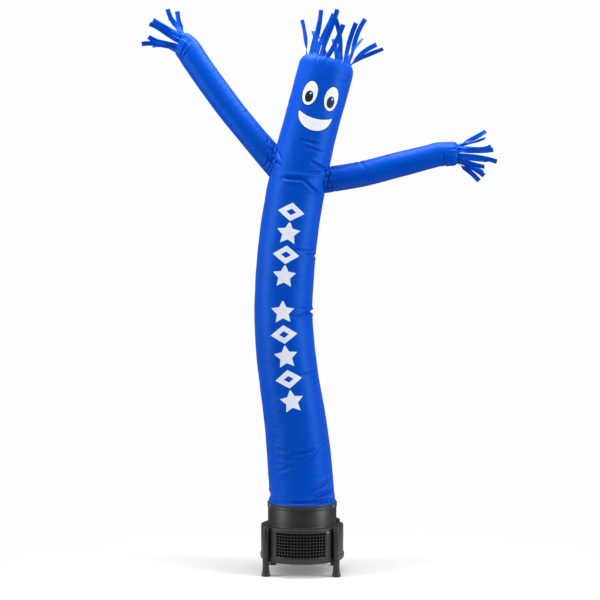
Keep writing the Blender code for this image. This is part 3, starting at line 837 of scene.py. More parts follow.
def face_masks(across, along):
    """The white, the black and the outline of the face."""
    middle, s = arc_at(FACE_ANGLE, FACE_HEIGHT)
    white, black, ring = 0.0, 0.0, 0.0
    for side in (-1, 1):
        eye = (middle + side * EYE_APART, s)
        pupil = (eye[0], s - PUPIL_DROP)
        glint = (pupil[0] + 0.0055, pupil[1] + 0.022)
        soft = 0.0008 / EYE_HALF[0]
        outside = ellipse(across, along, eye, EYE_HALF)
        white = outside.below(1.0, soft) + white
        ring = outside.below(1.0 + OUTLINE / EYE_HALF[0], soft) + ring
        dark = ellipse(across, along, pupil, PUPIL_HALF).below(1.0, 0.03)
        bright = ellipse(across, along, glint, (GLINT_HALF, GLINT_HALF)).below(1.0, 0.2)
        black = dark - dark * bright * 0.7 + black
    x = (across - middle) / MOUTH_HALF
    y = along - (s - MOUTH_DROP)
    inside = (1.0 - x * x).math("MAXIMUM", 0.0)
    upper = y + inside * MOUTH_SAG
    lower = y + inside.math("SQRT") * MOUTH_DEPTH
    white = upper.below(0.0) * lower.above(0.0) * inside.above(0.004, 0.004) + white
    wide = (across - middle) / (MOUTH_HALF + OUTLINE)
    room = (1.0 - wide * wide).math("MAXIMUM", 0.0)
    over = y + room * MOUTH_SAG
    under = y + room.math("SQRT") * (MOUTH_DEPTH + OUTLINE)
    ring = over.below(OUTLINE) * under.above(0.0) * room.above(0.004, 0.004) + ring
    return white, black, ring.math("MINIMUM", 1.0)


def body_prints(finish, across, along, colour, roughness):
    """Lays the print over the blue."""
    white, black, ring = face_masks(across, along)
    white = (white + motif(across, along)).math("MINIMUM", 1.0)
    ink = finish.noise(finish.cloth(), 320.0, 2.0) * 0.05 + 0.95
    printed = finish.mix(ring * 0.85, colour, OUTLINE_NAVY)
    printed = finish.mix(white * ink, printed, PRINT_WHITE)
    printed = finish.mix(black, printed, PUPIL_BLACK)
    return printed, roughness + white * 0.08 - black * 0.06, white + black * 0.5


print("print ready")

# %% [markdown]
# ## The body tube
# The fine cloth is made from many rings, and holes are left where the sleeves go on. The rings are a few
# millimetres apart at the creases and much wider on the plain stretches.

# %% Make the body tube
BODY_SIDES = 144
#   height, distance between rings
BODY_SPACING = (
    (0.42, 0.0065),
    (0.60, 0.0065),
    (0.68, 0.0090),
    (0.84, 0.0090),
    (0.92, 0.0220),
    (1.16, 0.0220),
    (1.22, 0.0100),
    (1.32, 0.0100),
    (1.40, 0.0220),
    (1.58, 0.0200),
    (1.65, 0.0065),
    (1.76, 0.0070),
    (1.84, 0.0220),
    (2.00, 0.0200),
    (2.06, 0.0065),
    (2.14, 0.0070),
    (2.24, 0.0180),
    (2.40, 0.0100),
    (2.46, 0.0065),
    (2.84, 0.0070),
    (2.92, 0.0160),
    (3.18, 0.0160),
    (3.24, 0.0075),
    (3.35, 0.0050),
)
ARM_HOLE_SHARE = 0.93  # of the sleeve's radius


def in_arm_hole(points, sleeve):
    """Which points lie inside the sleeve, near its root."""
    s, _angle, outside = sleeve.locate(points)
    radius = sleeve.through(sleeve.diameter, s) / 2
    return (outside + radius < ARM_HOLE_SHARE * radius) & (s > 0.0) & (s < 0.5 * sleeve.length)


places = ring_places(body, BODY_SPACING)
angles = np.arange(BODY_SIDES) * 360.0 / BODY_SIDES - 180.0
column_angles = np.arange(BODY_SIDES + 1) * 360.0 / BODY_SIDES - 180.0
points = body.points(places[:, None], angles[None, :])
plain_radius = body.through(body.diameter, places) / 2
across = np.radians(column_angles)[None, :] * plain_radius[:, None]
along = np.repeat(places[:, None], BODY_SIDES + 1, axis=1)
middles = (points[:-1] + points[1:] + np.roll(points, -1, 1)[:-1] + np.roll(points, -1, 1)[1:]) / 4
keep = ~(in_arm_hole(middles, Tube(LEFT_SLEEVE_ROWS)) | in_arm_hole(middles, Tube(RIGHT_SLEEVE_ROWS)))
body_cloth = mesh_of_rings("body_cloth", points, across, along, keep)
apply_modifier(body_cloth, "SOLIDIFY", thickness=NYLON_THICKNESS, offset=0.0, use_rim=True)
body_rows = ((body.length, -1.0), (body.at_height(0.459), 1.0))
body_nylon = nylon("nylon_body", body_rows, 0.075, body_prints)
finish_piece(body_cloth, body_nylon, "nylon_cloth", "body_tube")
print(len(places), "rings of", BODY_SIDES)

# %% [markdown]
# ## The sleeves
# Each sleeve is a narrower tube whose first ring is the saddle line, so its edge lies all round on the
# body's side. The rings slide from that line to straight rings by the wrist.

# %% Make the sleeves
SLEEVE_SIDES = 88


def make_sleeve(name, sleeve, root_of, spacing, node):
    """One sleeve, from the saddle line to the drawn-in mouth of the hand."""
    angles = np.arange(SLEEVE_SIDES) * 360.0 / SLEEVE_SIDES - 180.0
    column_angles = np.arange(SLEEVE_SIDES + 1) * 360.0 / SLEEVE_SIDES - 180.0
    shares = np.concatenate([[0.0], np.cumsum(spacing)])
    shares /= shares[-1]
    roots = root_of(column_angles)
    grid = roots[None, :] + (sleeve.length - roots[None, :]) * shares[:, None]
    points = sleeve.points(grid[:, :-1], angles[None, :])
    plain = sleeve.through(sleeve.diameter, grid) / 2
    across = np.radians(column_angles)[None, :] * plain
    made = mesh_of_rings(name, points, across, grid)
    apply_modifier(made, "SOLIDIFY", thickness=NYLON_THICKNESS, offset=0.0, use_rim=True)
    material = nylon(f"nylon_{name}", ((sleeve.length, -1.0),), 0.07)
    return finish_piece(made, material, "nylon_cloth", node)


def graded(count, root, middle, wrist):
    """Ring spacings that are close at both ends of a sleeve."""
    share = np.linspace(0.0, 1.0, count)
    spacings = (root, root, middle, middle, wrist, wrist)
    return np.interp(share, (0.0, 0.30, 0.42, 0.68, 0.80, 1.0), spacings)


left_spacing, right_spacing = graded(110, 1.0, 2.6, 0.9), graded(110, 1.0, 2.2, 0.9)
left_cloth = make_sleeve("left_sleeve_cloth", left_sleeve, left_root, left_spacing, "sleeve_left")
right_cloth = make_sleeve("right_sleeve_cloth", right_sleeve, right_root, right_spacing, "sleeve_right")

# %% [markdown]
# ## The fringes
# A band of cloth is sewn into each mouth and cut into strips, which the escaping air throws about. One
# fringe is a single comb: a short heading, with a strip rising from it at each root. A strip starts on the
# curve of the mouth, twists to show its face, and bends through three directions on its way to the tip.

# %% Strips and where they blow
#   root angle, length, direction at the start, middle and end (from straight up towards +X),
#   lean to the front, and the way that the strip's face turns at its tip
HEAD_STRIPS = (
    (-92, 0.235, -2, -7, -15, 6, -40),
    (-47, 0.290, 18, 12, 5, 8, -20),
    (-32, 0.285, 16, 26, 22, 4, -10),
    (-17, 0.310, 14, 23, 16, 12, 5),
    (-2, 0.230, 40, 26, 24, 10, 15),
    (31, 0.285, 10, -6, -27, 14, 10),
    (53, 0.264, 8, 16, 26, 12, 12),
    (76, 0.316, 10, 16, 38, 4, 14),
    (92, 0.245, 46, 66, 70, 6, 20),
    (109, 0.240, 32, 50, 66, -6, 14),
    (131, 0.240, 20, 30, 40, -14, 130),
    (155, 0.200, -4, -8, -14, -12, 160),
    (188, 0.236, -8, -14, -52, -10, 120),
    (214, 0.230, 4, -6, -20, -18, 200),
    (240, 0.270, 8, 14, 10, -16, 230),
)
LEFT_STRIPS = (
    (-72, 0.228, -58, -80, -100, 6, -10),
    (-36, 0.195, -68, -80, -50, 14, 0),
    (2, 0.224, -72, -56, -78, 18, -8),
    (38, 0.216, -68, -64, -56, 14, 5),
    (68, 0.200, -54, -34, -12, 8, 0),
    (98, 0.168, -38, -18, -2, 0, 10),
    (128, 0.180, -44, -32, -54, -10, 172),
    (162, 0.200, -56, -58, -62, -16, 180),
    (200, 0.200, -72, -84, -90, -16, 200),
    (243, 0.205, -66, -72, -84, -10, 240),
)
RIGHT_STRIPS = (
    (-80, 0.205, 84, 64, 60, 4, -4),
    (-48, 0.224, 97, 96, 60, 12, 6),
    (-18, 0.236, 92, 92, 84, 18, 0),
    (11, 0.262, 98, 100, 114, 14, 10),
    (40, 0.187, 112, 108, 104, 16, 20),
    (69, 0.200, 108, 118, 134, 8, 6),
    (98, 0.187, 120, 128, 140, -2, 0),
    (134, 0.200, 104, 112, 120, -14, 150),
    (170, 0.220, 92, 96, 88, -14, 180),
    (210, 0.225, 90, 86, 78, -16, 210),
    (246, 0.200, 88, 74, 68, -8, 246),
)
STRIP_WIDTH = 0.031
STRIP_ROWS = 28
STRIP_SIDES = np.linspace(-1.0, 1.0, 7)
FLARE_HEIGHT = 0.050  # how far up a strip is wider, where the cuts between strips begin
HEADING = 0.014
HEADING_STANDS = 0.003  # how far it stands out of the mouth
STRIP_THICKNESS = 0.0010


def smooth_step(value):
    t = np.clip(value, 0.0, 1.0)
    return t * t * (3 - 2 * t)


def bend(start, middle, end, share):
    """A value that passes through three others at the start, middle and end."""
    return (
        start * (1 - 2 * share) * (1 - share)
        + middle * 4 * share * (1 - share)
        + end * share * (2 * share - 1)
    )


def strip_line(root, row):
    """The points of one strip's middle line, and its direction at each."""
    _root, length, start, middle, end, depth, _face = row
    share = (np.arange(STRIP_ROWS) + 0.5) / STRIP_ROWS
    lean = np.radians(bend(start, middle, end, share))
    front = np.radians(depth) * (0.4 + 1.2 * share)
    steps = np.stack([np.sin(lean) * np.cos(front), -np.sin(front), np.cos(lean) * np.cos(front)], -1)
    line = np.vstack([root, root + np.cumsum(steps, 0) * length / STRIP_ROWS])
    directions = np.vstack([steps[:1], (steps[:-1] + steps[1:]) / 2, steps[-1:]])
    return line, directions / np.linalg.norm(directions, axis=1, keepdims=True)


def strip_grid(tube, end, offset, row, half_angle, draw):
    """The points of one strip: rows along it, columns across it."""
    angle, length, face = row[0], row[1], row[6]
    rim = tube.points(end, angle + STRIP_SIDES * half_angle, offset)
    line, along = strip_line(rim[len(STRIP_SIDES) // 2], row)
    distance = np.linspace(0.0, length, STRIP_ROWS + 1)
    share = distance / length
    turn = np.radians(angle + (face - angle) * smooth_step(share / 0.55) + draw.uniform(-14, 14) * share)
    _x, _z, along_x, along_z = tube.frame_at(np.array(end))
    across = np.array([along_z, 0.0, -along_x])
    wide = np.cos(turn)[:, None] * across + np.sin(turn)[:, None] * np.array([0.0, 1.0, 0.0])
    wide -= along * np.sum(wide * along, axis=1, keepdims=True)
    wide /= np.linalg.norm(wide, axis=1, keepdims=True)
    normal = np.cross(wide, along)
    root_width = np.radians(half_angle) * float(tube.radius(end, 0.0) + offset)
    half = STRIP_WIDTH / 2 + (root_width - STRIP_WIDTH / 2) * (1 - smooth_step(distance / FLARE_HEIGHT))
    cup = draw.uniform(-0.10, 0.16) * STRIP_WIDTH * smooth_step(share * 3)
    ripple = 0.0022 * np.sin(share * draw.uniform(7, 12) + draw.uniform(0, 6)) * smooth_step(share * 4)
    flat = line[:, None] + wide[:, None] * (half[:, None] * STRIP_SIDES)[..., None]
    lift = cup[:, None] * (STRIP_SIDES**2)[None, :] + ripple[:, None] * STRIP_SIDES[None, :]
    flat = flat + normal[:, None] * lift[..., None]
    on_rim = rim[None, :] + (line - line[0])[:, None]
    blend = smooth_step(distance / (1.3 * FLARE_HEIGHT))[:, None, None]
    return on_rim * (1 - blend) + flat * blend, half, distance


def make_fringe(name, tube, rows, offset, seed, node):
    """One comb of cloth: a heading inside the mouth's edge, with all its strips."""
    draw = np.random.default_rng(seed)
    end = tube.length + HEADING_STANDS
    pitch = 360.0 / len(rows)
    order = sorted(rows, key=lambda row: row[0])
    gaps = [(b[0] - a[0]) % 360.0 for a, b in zip(order, order[1:] + order[:1])]
    bm = bmesh.new()
    cut = bm.loops.layers.uv.new("cut")
    ring = []

    for number, row in enumerate(order):
        half_angle = 0.46 * min(gaps[number - 1], gaps[number], pitch * 1.15)
        grid, half, distance = strip_grid(tube, end, offset, row, half_angle, draw)
        verts = [[bm.verts.new(p) for p in line] for line in grid]
        start = number * 0.1
        for i in range(STRIP_ROWS):
            for k in range(len(STRIP_SIDES) - 1):
                corners = (verts[i][k], verts[i][k + 1], verts[i + 1][k + 1], verts[i + 1][k])
                spots = ((i, k), (i, k + 1), (i + 1, k + 1), (i + 1, k))
                places = [(start + STRIP_SIDES[b] * half[a], distance[a]) for a, b in spots]
                cut_quad(bm, cut, corners, places)
        for side, top in zip(STRIP_SIDES, verts[0]):
            foot = tube.points(end - HEADING, row[0] + side * half_angle, offset)
            ring.append((bm.verts.new(foot), top, start + side * half[0]))
    for (foot, top, u), (next_foot, next_top, next_u) in zip(ring, ring[1:] + ring[:1]):
        places = ((u, -HEADING), (next_u, -HEADING), (next_u, 0.0), (u, 0.0))
        cut_quad(bm, cut, (foot, next_foot, next_top, top), places)
    made = object_from(bm, name)
    apply_modifier(made, "SOLIDIFY", thickness=STRIP_THICKNESS, offset=0.0, use_rim=True)
    return finish_piece(made, strip_nylon, "nylon_cloth", node)


strip_nylon = nylon("nylon_strips")
IN_MOUTH = -0.0030  # the heading lies this far inside the mouth's cloth
head_fringe = make_fringe("head_fringe_cloth", body, HEAD_STRIPS, IN_MOUTH, 51, "fringe_head")
left_fringe = make_fringe("left_fringe_cloth", left_sleeve, LEFT_STRIPS, IN_MOUTH, 52, "fringe_left")
right_fringe = make_fringe("right_fringe_cloth", right_sleeve, RIGHT_STRIPS, IN_MOUTH, 53, "fringe_right")

# %% [markdown]
# ## The blower's plastic and metal
# The blower is rotationally moulded in black polyethylene: satin, with a faint pebbled grain, long shallow
# waviness and a little dust on faces that look up. The grille is a separate moulding, and the fixings are
# zinc-plated. Moulded corners are slightly paler where they have been rubbed.

# %% Plastic and metal
BLACK = rgb(0.0122, 0.0127, 0.0140)
BLACK_WORN = rgb(0.055, 0.056, 0.058)
DUST = rgb(0.16, 0.155, 0.15)
WAVE_HEIGHT = 0.0010  # of the moulding's long shallow waviness
RING_HEIGHT = 0.00004  # of the turned rings on a screw's head


def moulded(name, base, worn, grain, polish):
    """Moulded plastic: fine grain, faint scuffs, and dust on what faces up."""
    finish = Finish(name, Specular_IOR_Level=0.45)
    fine = finish.noise(finish.place(), 900.0, 2.0)
    wavy = finish.noise(finish.place((1.0, 1.0, 0.5)), 9.0, 2.0)
    scuffs = finish.noise(finish.place((1.0, 1.0, 7.0)), 26.0, 5.0, 0.7).above(0.60, 0.05)
    facing = finish.node("ShaderNodeNewGeometry", None, None, "Normal")
    up = finish.split(facing)[2].above(0.6, 0.3)
    settled = up * finish.noise(finish.place(), 14.0, 4.0, 0.6)
    edges = finish.node("ShaderNodeBevel", {"samples": 4}, {"Radius": 0.0022})
    product = {"operation": "DOT_PRODUCT"}
    edge_normal = finish.node("ShaderNodeVectorMath", product, {0: edges, 1: facing}, "Value")
    rubbed = edge_normal.below(0.985, 0.012)
    colour = finish.mix(scuffs * 0.25 + rubbed * 0.30, base, worn)
    colour = finish.mix(settled * 0.16, colour, DUST)
    roughness = polish + scuffs * 0.10 + settled * 0.12 + fine * 0.05
    return finish.surface(colour, roughness, wavy * WAVE_HEIGHT, fine * grain)


def plated(name):
    """Zinc-plated steel, with the turned face's fine rings and a little tarnish."""
    finish = Finish(name, Metallic=1.0)
    tarnish = finish.noise(finish.place(), 260.0, 3.0)
    rings = finish.noise(finish.place(), 2600.0, 1.0)
    colour = finish.mix(tarnish, rgb(0.50, 0.50, 0.51), rgb(0.36, 0.355, 0.34))
    return finish.surface(colour, 0.28 + tarnish * 0.2, rings * RING_HEIGHT)


housing_plastic = moulded("housing_plastic", BLACK, BLACK_WORN, 0.00010, 0.40)
grille_finish = moulded("grille_finish", rgb(0.018, 0.019, 0.021), BLACK_WORN, 0.00006, 0.36)
metal_finish = plated("screw_finish")
print("plastic and metal ready")

# %% [markdown]
# ## Turning the round pieces
# Most of the blower is turned about one upright axis: the pan, the top plate, the collar, the band, the
# legs with their feet, and the caps. Each is an outline that is spun round by an edit-mode tool and then
# has its edges rounded. A circle with as many corners as the outline is the start of it.

# %% Helpers for solid pieces
BEVEL_ANGLE, SMOOTH_ANGLE = 35.0, 38.0  # edges sharper than these are rounded, or stay crisp
ROUND_STEPS, SMALL_STEPS = 120, 48


def edit(piece):
    pick(piece)
    bpy.ops.object.mode_set(mode="EDIT")
    bpy.ops.mesh.select_all(action="SELECT")


def leave_edit():
    bpy.ops.mesh.normals_make_consistent(inside=False)
    bpy.ops.object.mode_set(mode="OBJECT")


def soften(piece, width, segments=2):
    """Rounds the edges and shades the piece smooth between them."""
    limit = {"limit_method": "ANGLE", "angle_limit": math.radians(BEVEL_ANGLE)}
    apply_modifier(piece, "BEVEL", width=width, segments=segments, **limit)
    pick(piece)
    bpy.ops.object.shade_smooth_by_angle(angle=math.radians(SMOOTH_ANGLE))


def set_down(piece, place=(0.0, 0.0, 0.0), turn=None):
    """Moves a piece made at the origin to its place, and puts the move into its mesh."""
    move = Matrix.Translation(place)
    piece.data.transform(move @ turn if turn is not None else move)
    piece.data.update()


def turned(name, outline, steps, bevel, place=(0.0, 0.0, 0.0)):
    """A turned piece: the outline's (radius, height) corners spun about the upright axis."""
    bpy.ops.mesh.primitive_circle_add(vertices=len(outline), radius=0.1)
    piece = bpy.context.object
    piece.name = name
    for corner, (radius, height) in zip(piece.data.vertices, outline):
        corner.co = (radius, 0.0, height)
    edit(piece)
    bpy.ops.mesh.spin(steps=steps, angle=2 * math.pi, center=(0, 0, 0), axis=(0, 0, 1))
    bpy.ops.mesh.select_all(action="SELECT")
    bpy.ops.mesh.remove_doubles(threshold=0.00001)
    bpy.ops.mesh.delete_loose()
    bpy.ops.mesh.select_all(action="SELECT")
    leave_edit()
    if bevel:
        soften(piece, bevel)
    set_down(piece, place)
    return piece


def cut_away(piece, *cutters):
    """Cuts other solids out of a piece, and removes them."""
    how = {"operation": "DIFFERENCE", "solver": "EXACT", "use_self": True}
    for cutter in cutters:
        apply_modifier(piece, "BOOLEAN", object=cutter, **how)
        bpy.data.objects.remove(cutter)


def rod(name, radius, low, high, place):
    """A plain upright cylinder at a place on the ground."""
    bpy.ops.mesh.primitive_cylinder_add(vertices=SMALL_STEPS, radius=radius, depth=high - low)
    piece = bpy.context.object
    piece.name = name
    set_down(piece, (place[0], place[1], (low + high) / 2))
    return piece


AXIS = (AXIS_X, 0.0, 0.0)
print("turning helpers ready")

# %% [markdown]
# ## The drum: bottom pan, wall and top plate
# The pan is a shallow dish whose rim stands outside the wall, with a round notch at each leg. The wall is
# a ring of sheet with the intake window left open at the front. The top plate closes the ring with a
# rounded shoulder. A shallow groove runs round the wall under the plate, where the two mouldings meet.

# %% Make the drum
GAP = 0.0004
HOUSING_FLOOR, PAN_RIM_TOP, PAN_SHEET = 0.088, 0.125, 0.0045
HOUSING_TOP, TOP_PLATE = 0.3105, 0.012
WINDOW_HALF_ANGLE, WINDOW_BOTTOM, WINDOW_TOP = 36.0, 0.131, 0.289
LEG_ANGLES = (-51.0, 51.0, 134.0, 226.0)
LEG_RADIUS = 0.0215
LEG_RING = DRUM_RADIUS + GAP + LEG_RADIUS

rim_inside = DRUM_RADIUS + GAP
rim_outside = rim_inside + PAN_SHEET
pan_outline = (
    (0.0, HOUSING_FLOOR),
    (rim_outside - 0.016, HOUSING_FLOOR),
    (rim_outside - 0.008, HOUSING_FLOOR + 0.002),
    (rim_outside - 0.003, HOUSING_FLOOR + 0.007),
    (rim_outside, HOUSING_FLOOR + 0.017),
    (rim_outside, PAN_RIM_TOP),
    (rim_inside, PAN_RIM_TOP),
    (rim_inside, HOUSING_FLOOR + PAN_SHEET),
    (0.0, HOUSING_FLOOR + PAN_SHEET),
)
pan = turned("bottom_pan_moulding", pan_outline, ROUND_STEPS, None, AXIS)
notches = [
    rod(f"notch_{n}", LEG_RADIUS + 2 * GAP, 0.06, 0.15, around(angle, LEG_RING, 0.0))
    for n, angle in enumerate(LEG_ANGLES)
]
cut_away(pan, *notches)
soften(pan, 0.0010)
finish_piece(pan, housing_plastic, "moulded_housing", "bottom_pan")

WALL = 0.004
wall_heights = (wall_low.z, WINDOW_BOTTOM, WINDOW_TOP, wall_high.z)
foot_of_wall = (0, 0, wall_heights[0])
bpy.ops.mesh.primitive_circle_add(vertices=ROUND_STEPS, radius=DRUM_RADIUS, location=foot_of_wall)
wall = bpy.context.object
wall.name = "housing_wall_moulding"
bpy.ops.object.transform_apply(location=True)
edit(wall)
for low, high in zip(wall_heights, wall_heights[1:]):
    bpy.ops.mesh.extrude_region_move(TRANSFORM_OT_translate={"value": (0, 0, high - low)})
bpy.ops.mesh.select_all(action="SELECT")
leave_edit()
window = bmesh.new()
window.from_mesh(wall.data)
in_window = []
for face in window.faces:
    middle = face.calc_center_median()
    angle = abs(math.degrees(math.atan2(middle.x, -middle.y)))
    if angle < WINDOW_HALF_ANGLE and WINDOW_BOTTOM < middle.z < WINDOW_TOP:
        in_window.append(face)
bmesh.ops.delete(window, geom=in_window, context="FACES")
window.to_mesh(wall.data)
window.free()
apply_modifier(wall, "SOLIDIFY", thickness=WALL, offset=-1.0)
soften(wall, 0.0014)
set_down(wall, AXIS)
finish_piece(wall, housing_plastic, "moulded_housing", "housing_wall")

plate_low = HOUSING_TOP - TOP_PLATE
COLLAR_BORE = 0.2177
PLATE_GROOVE = 0.0006  # between the wall and the plate
plate_outline = (
    (DRUM_RADIUS, plate_low + PLATE_GROOVE),
    (DRUM_RADIUS, HOUSING_TOP - 0.0050),
    (DRUM_RADIUS - 0.0015, HOUSING_TOP - 0.0015),
    (DRUM_RADIUS - 0.0050, HOUSING_TOP),
    (COLLAR_BORE, HOUSING_TOP),
    (COLLAR_BORE, plate_low + PLATE_GROOVE),
)
plate = turned("top_plate_moulding", plate_outline, ROUND_STEPS, 0.0012, AXIS)
finish_piece(plate, housing_plastic, "moulded_housing", "top_plate")

# %% [markdown]
# ## The intake grille
# A fine square mesh of bars stands a little inside the window. It begins as a flat grid: every cell is
# inset, the middles are deleted, and the bars that are left are thickened and rounded. The flat panel is
# then wrapped round the drum's axis.

# %% Make the grille
GRILLE_RADIUS = DRUM_RADIUS - 0.0035
GRILLE_COLUMNS, GRILLE_ROWS = 16, 8
BAR_HALF = 0.0017
GRILLE_WALL = 0.0030

panel_width = 2 * math.radians(WINDOW_HALF_ANGLE - 0.15) * GRILLE_RADIUS
panel_height = WINDOW_TOP - WINDOW_BOTTOM - 2 * GAP
bpy.ops.mesh.primitive_grid_add(x_subdivisions=GRILLE_COLUMNS, y_subdivisions=GRILLE_ROWS, size=1.0)
grille = bpy.context.object
grille.name = "intake_grille_moulding"
for corner in grille.data.vertices:
    corner.co = (corner.co.x * panel_width, corner.co.y * panel_height, 0.0)
edit(grille)
bpy.ops.mesh.select_mode(type="FACE")
bpy.ops.mesh.inset(thickness=BAR_HALF, use_individual=True)
bpy.ops.mesh.delete(type="FACE")
bpy.ops.mesh.select_all(action="SELECT")
bpy.ops.mesh.subdivide(number_cuts=1)
leave_edit()
apply_modifier(grille, "SOLIDIFY", thickness=GRILLE_WALL, offset=-1.0)
soften(grille, 0.0005)
grille_middle = (WINDOW_BOTTOM + WINDOW_TOP) / 2
for corner in grille.data.vertices:
    x, y, z = corner.co
    corner.co = around(math.degrees(x / GRILLE_RADIUS), GRILLE_RADIUS + z, grille_middle + y)
grille.data.update()
finish_piece(grille, grille_finish, "grille_plastic", "intake_grille")

# %% [markdown]
# ## The collar and the clamp band
# The collar is a plain upright tube with a small foot flange, and its neck is recessed so that the cloth's
# hem and the band over it stand nearly flush. The band is a moulded hoop that traps the hem. It carries a
# faint oval boss at the front.

# %% Make the collar and the band
COLLAR_RADIUS, NECK_RADIUS = 0.225, 0.2217
NECK_BOTTOM, COLLAR_TOP = 0.424, 0.4575
BAND_RADIUS, BAND_BOTTOM, BAND_TOP = 0.2285, 0.426, 0.458
foot = HOUSING_TOP + GAP
collar_outline = (
    (COLLAR_RADIUS + 0.0035, foot),
    (COLLAR_RADIUS + 0.0035, foot + 0.0035),
    (COLLAR_RADIUS + 0.0008, foot + 0.0060),
    (COLLAR_RADIUS, foot + 0.0100),
    (COLLAR_RADIUS, NECK_BOTTOM),
    (NECK_RADIUS, NECK_BOTTOM),
    (NECK_RADIUS, COLLAR_TOP),
    (COLLAR_BORE, COLLAR_TOP),
    (COLLAR_BORE, foot),
)
collar = turned("outlet_collar_moulding", collar_outline, ROUND_STEPS, 0.0009, AXIS)
finish_piece(collar, housing_plastic, "moulded_housing", "outlet_collar")

BAND_INSIDE = 0.2245
band_outline = (
    (BAND_RADIUS - 0.0016, BAND_BOTTOM),
    (BAND_RADIUS, BAND_BOTTOM + 0.0030),
    (BAND_RADIUS, BAND_BOTTOM + 0.0085),
    (BAND_RADIUS - 0.0009, BAND_BOTTOM + 0.0100),
    (BAND_RADIUS - 0.0009, BAND_TOP - 0.0100),
    (BAND_RADIUS, BAND_TOP - 0.0085),
    (BAND_RADIUS, BAND_TOP - 0.0030),
    (BAND_RADIUS - 0.0016, BAND_TOP),
    (BAND_INSIDE, BAND_TOP),
    (BAND_INSIDE, BAND_BOTTOM),
)
band = turned("clamp_band_moulding", band_outline, ROUND_STEPS, 0.0006, AXIS)
finish_piece(band, housing_plastic, "moulded_housing", "clamp_band")

bpy.ops.mesh.primitive_uv_sphere_add(segments=32, ring_count=12, radius=1.0)
boss = bpy.context.object
boss.name = "band_boss"
boss.data.transform(Matrix.Diagonal((0.011, 0.0022, 0.0055, 1.0)))
bpy.ops.object.shade_smooth()
set_down(boss, around(0.0, BAND_RADIUS - 0.0012, 0.4405))
finish_piece(boss, grille_finish, "moulded_housing")

# %% [markdown]
# ## Legs, caps, screws and the mains inlet
# Four turned legs stand against the wall. Each flares to a foot below the pan and has a rounded cap on its
# top. Round-headed screws hold the band and the window's panel, with a slot cut across each head. The mains
# inlet is a small block with a rounded socket, on the top plate at the rear right.

# %% Make the legs and the small pieces
LEG_TOP, CAP_HEIGHT = 0.312, 0.007
FOOT_RADIUS = 0.029
leg_outline = (
    (0.0, 0.0),
    (FOOT_RADIUS - 0.002, 0.0),
    (FOOT_RADIUS, 0.003),
    (FOOT_RADIUS - 0.0006, 0.010),
    (0.0262, 0.016),
    (0.0243, 0.024),
    (0.0230, 0.034),
    (0.0216, 0.046),
    (0.0207, 0.060),
    (0.0207, HOUSING_FLOOR - 0.004),
    (LEG_RADIUS, HOUSING_FLOOR + 0.001),
    (LEG_RADIUS, 0.1215),
    (LEG_RADIUS - 0.0008, 0.1230),
    (LEG_RADIUS, 0.1245),
    (LEG_RADIUS, LEG_TOP),
    (0.0, LEG_TOP),
)
cap_low = LEG_TOP + GAP
cap_outline = (
    (0.0, cap_low),
    (LEG_RADIUS, cap_low),
    (LEG_RADIUS, cap_low + 0.0040),
    (LEG_RADIUS - 0.0016, cap_low + 0.0058),
    (LEG_RADIUS - 0.0050, cap_low + CAP_HEIGHT),
    (0.0060, cap_low + CAP_HEIGHT),
    (0.0045, cap_low + CAP_HEIGHT - 0.0010),
    (0.0, cap_low + CAP_HEIGHT - 0.0010),
)
for number, angle in enumerate(LEG_ANGLES, 1):
    place = around(angle, LEG_RING, 0.0)
    leg = turned(f"leg_moulding_{number}", leg_outline, SMALL_STEPS, 0.0006, place)
    finish_piece(leg, housing_plastic, "moulded_housing", f"leg_{number}")
    cap = turned(f"leg_cap_moulding_{number}", cap_outline, SMALL_STEPS, 0.0005, place)
    finish_piece(cap, housing_plastic, "moulded_housing", f"leg_cap_{number}")

SCREW_RADIUS, SCREW_HEAD = 0.0062, 0.0034
screw_outline = (
    (0.0, 0.0),
    (SCREW_RADIUS, 0.0),
    (SCREW_RADIUS, 0.0009),
    (SCREW_RADIUS * 0.90, 0.0019),
    (SCREW_RADIUS * 0.66, 0.0028),
    (SCREW_RADIUS * 0.34, 0.0033),
    (0.0, SCREW_HEAD),
)
SLOT = (0.020, 0.0013, 0.0026)  # longer than the head, how wide, and its floor is half this below the top


def make_screw(name, node, angle, radius, height, slot_turn):
    """A round-headed screw, its axis pointing out of the blower."""
    screw = turned(name, screw_outline, 32, None)
    bpy.ops.mesh.primitive_cube_add(size=1.0)
    slot_block = bpy.context.object
    slot_way = Matrix.Rotation(math.radians(slot_turn), 4, "Z")
    slot_block.data.transform(slot_way @ Matrix.Diagonal((*SLOT, 1.0)))
    set_down(slot_block, (0.0, 0.0, SCREW_HEAD))
    cut_away(screw, slot_block)
    soften(screw, 0.00012, 1)
    outwards = Matrix.Rotation(math.radians(angle), 4, "Z") @ Matrix.Rotation(math.radians(90), 4, "X")
    set_down(screw, around(angle, radius + GAP, height), outwards)
    finish_piece(screw, metal_finish, "screw_metal", node)


#   angle round the blower, how far the slot is turned
BAND_SCREWS = ((-65, 20), (65, 75), (115, 50), (245, 130))
BAND_SCREW_HEIGHT = 0.441
PANEL_SCREW_ANGLE, PANEL_SCREW_HEIGHT = 39.8, 0.2875
for number, (angle, slot_turn) in enumerate(BAND_SCREWS, 1):
    screw_name, node = f"band_screw_head_{number}", f"band_screw_{number}"
    make_screw(screw_name, node, angle, BAND_RADIUS, BAND_SCREW_HEIGHT, slot_turn)
make_screw("panel_screw_head", "panel_screw", PANEL_SCREW_ANGLE, DRUM_RADIUS, PANEL_SCREW_HEIGHT, 35)

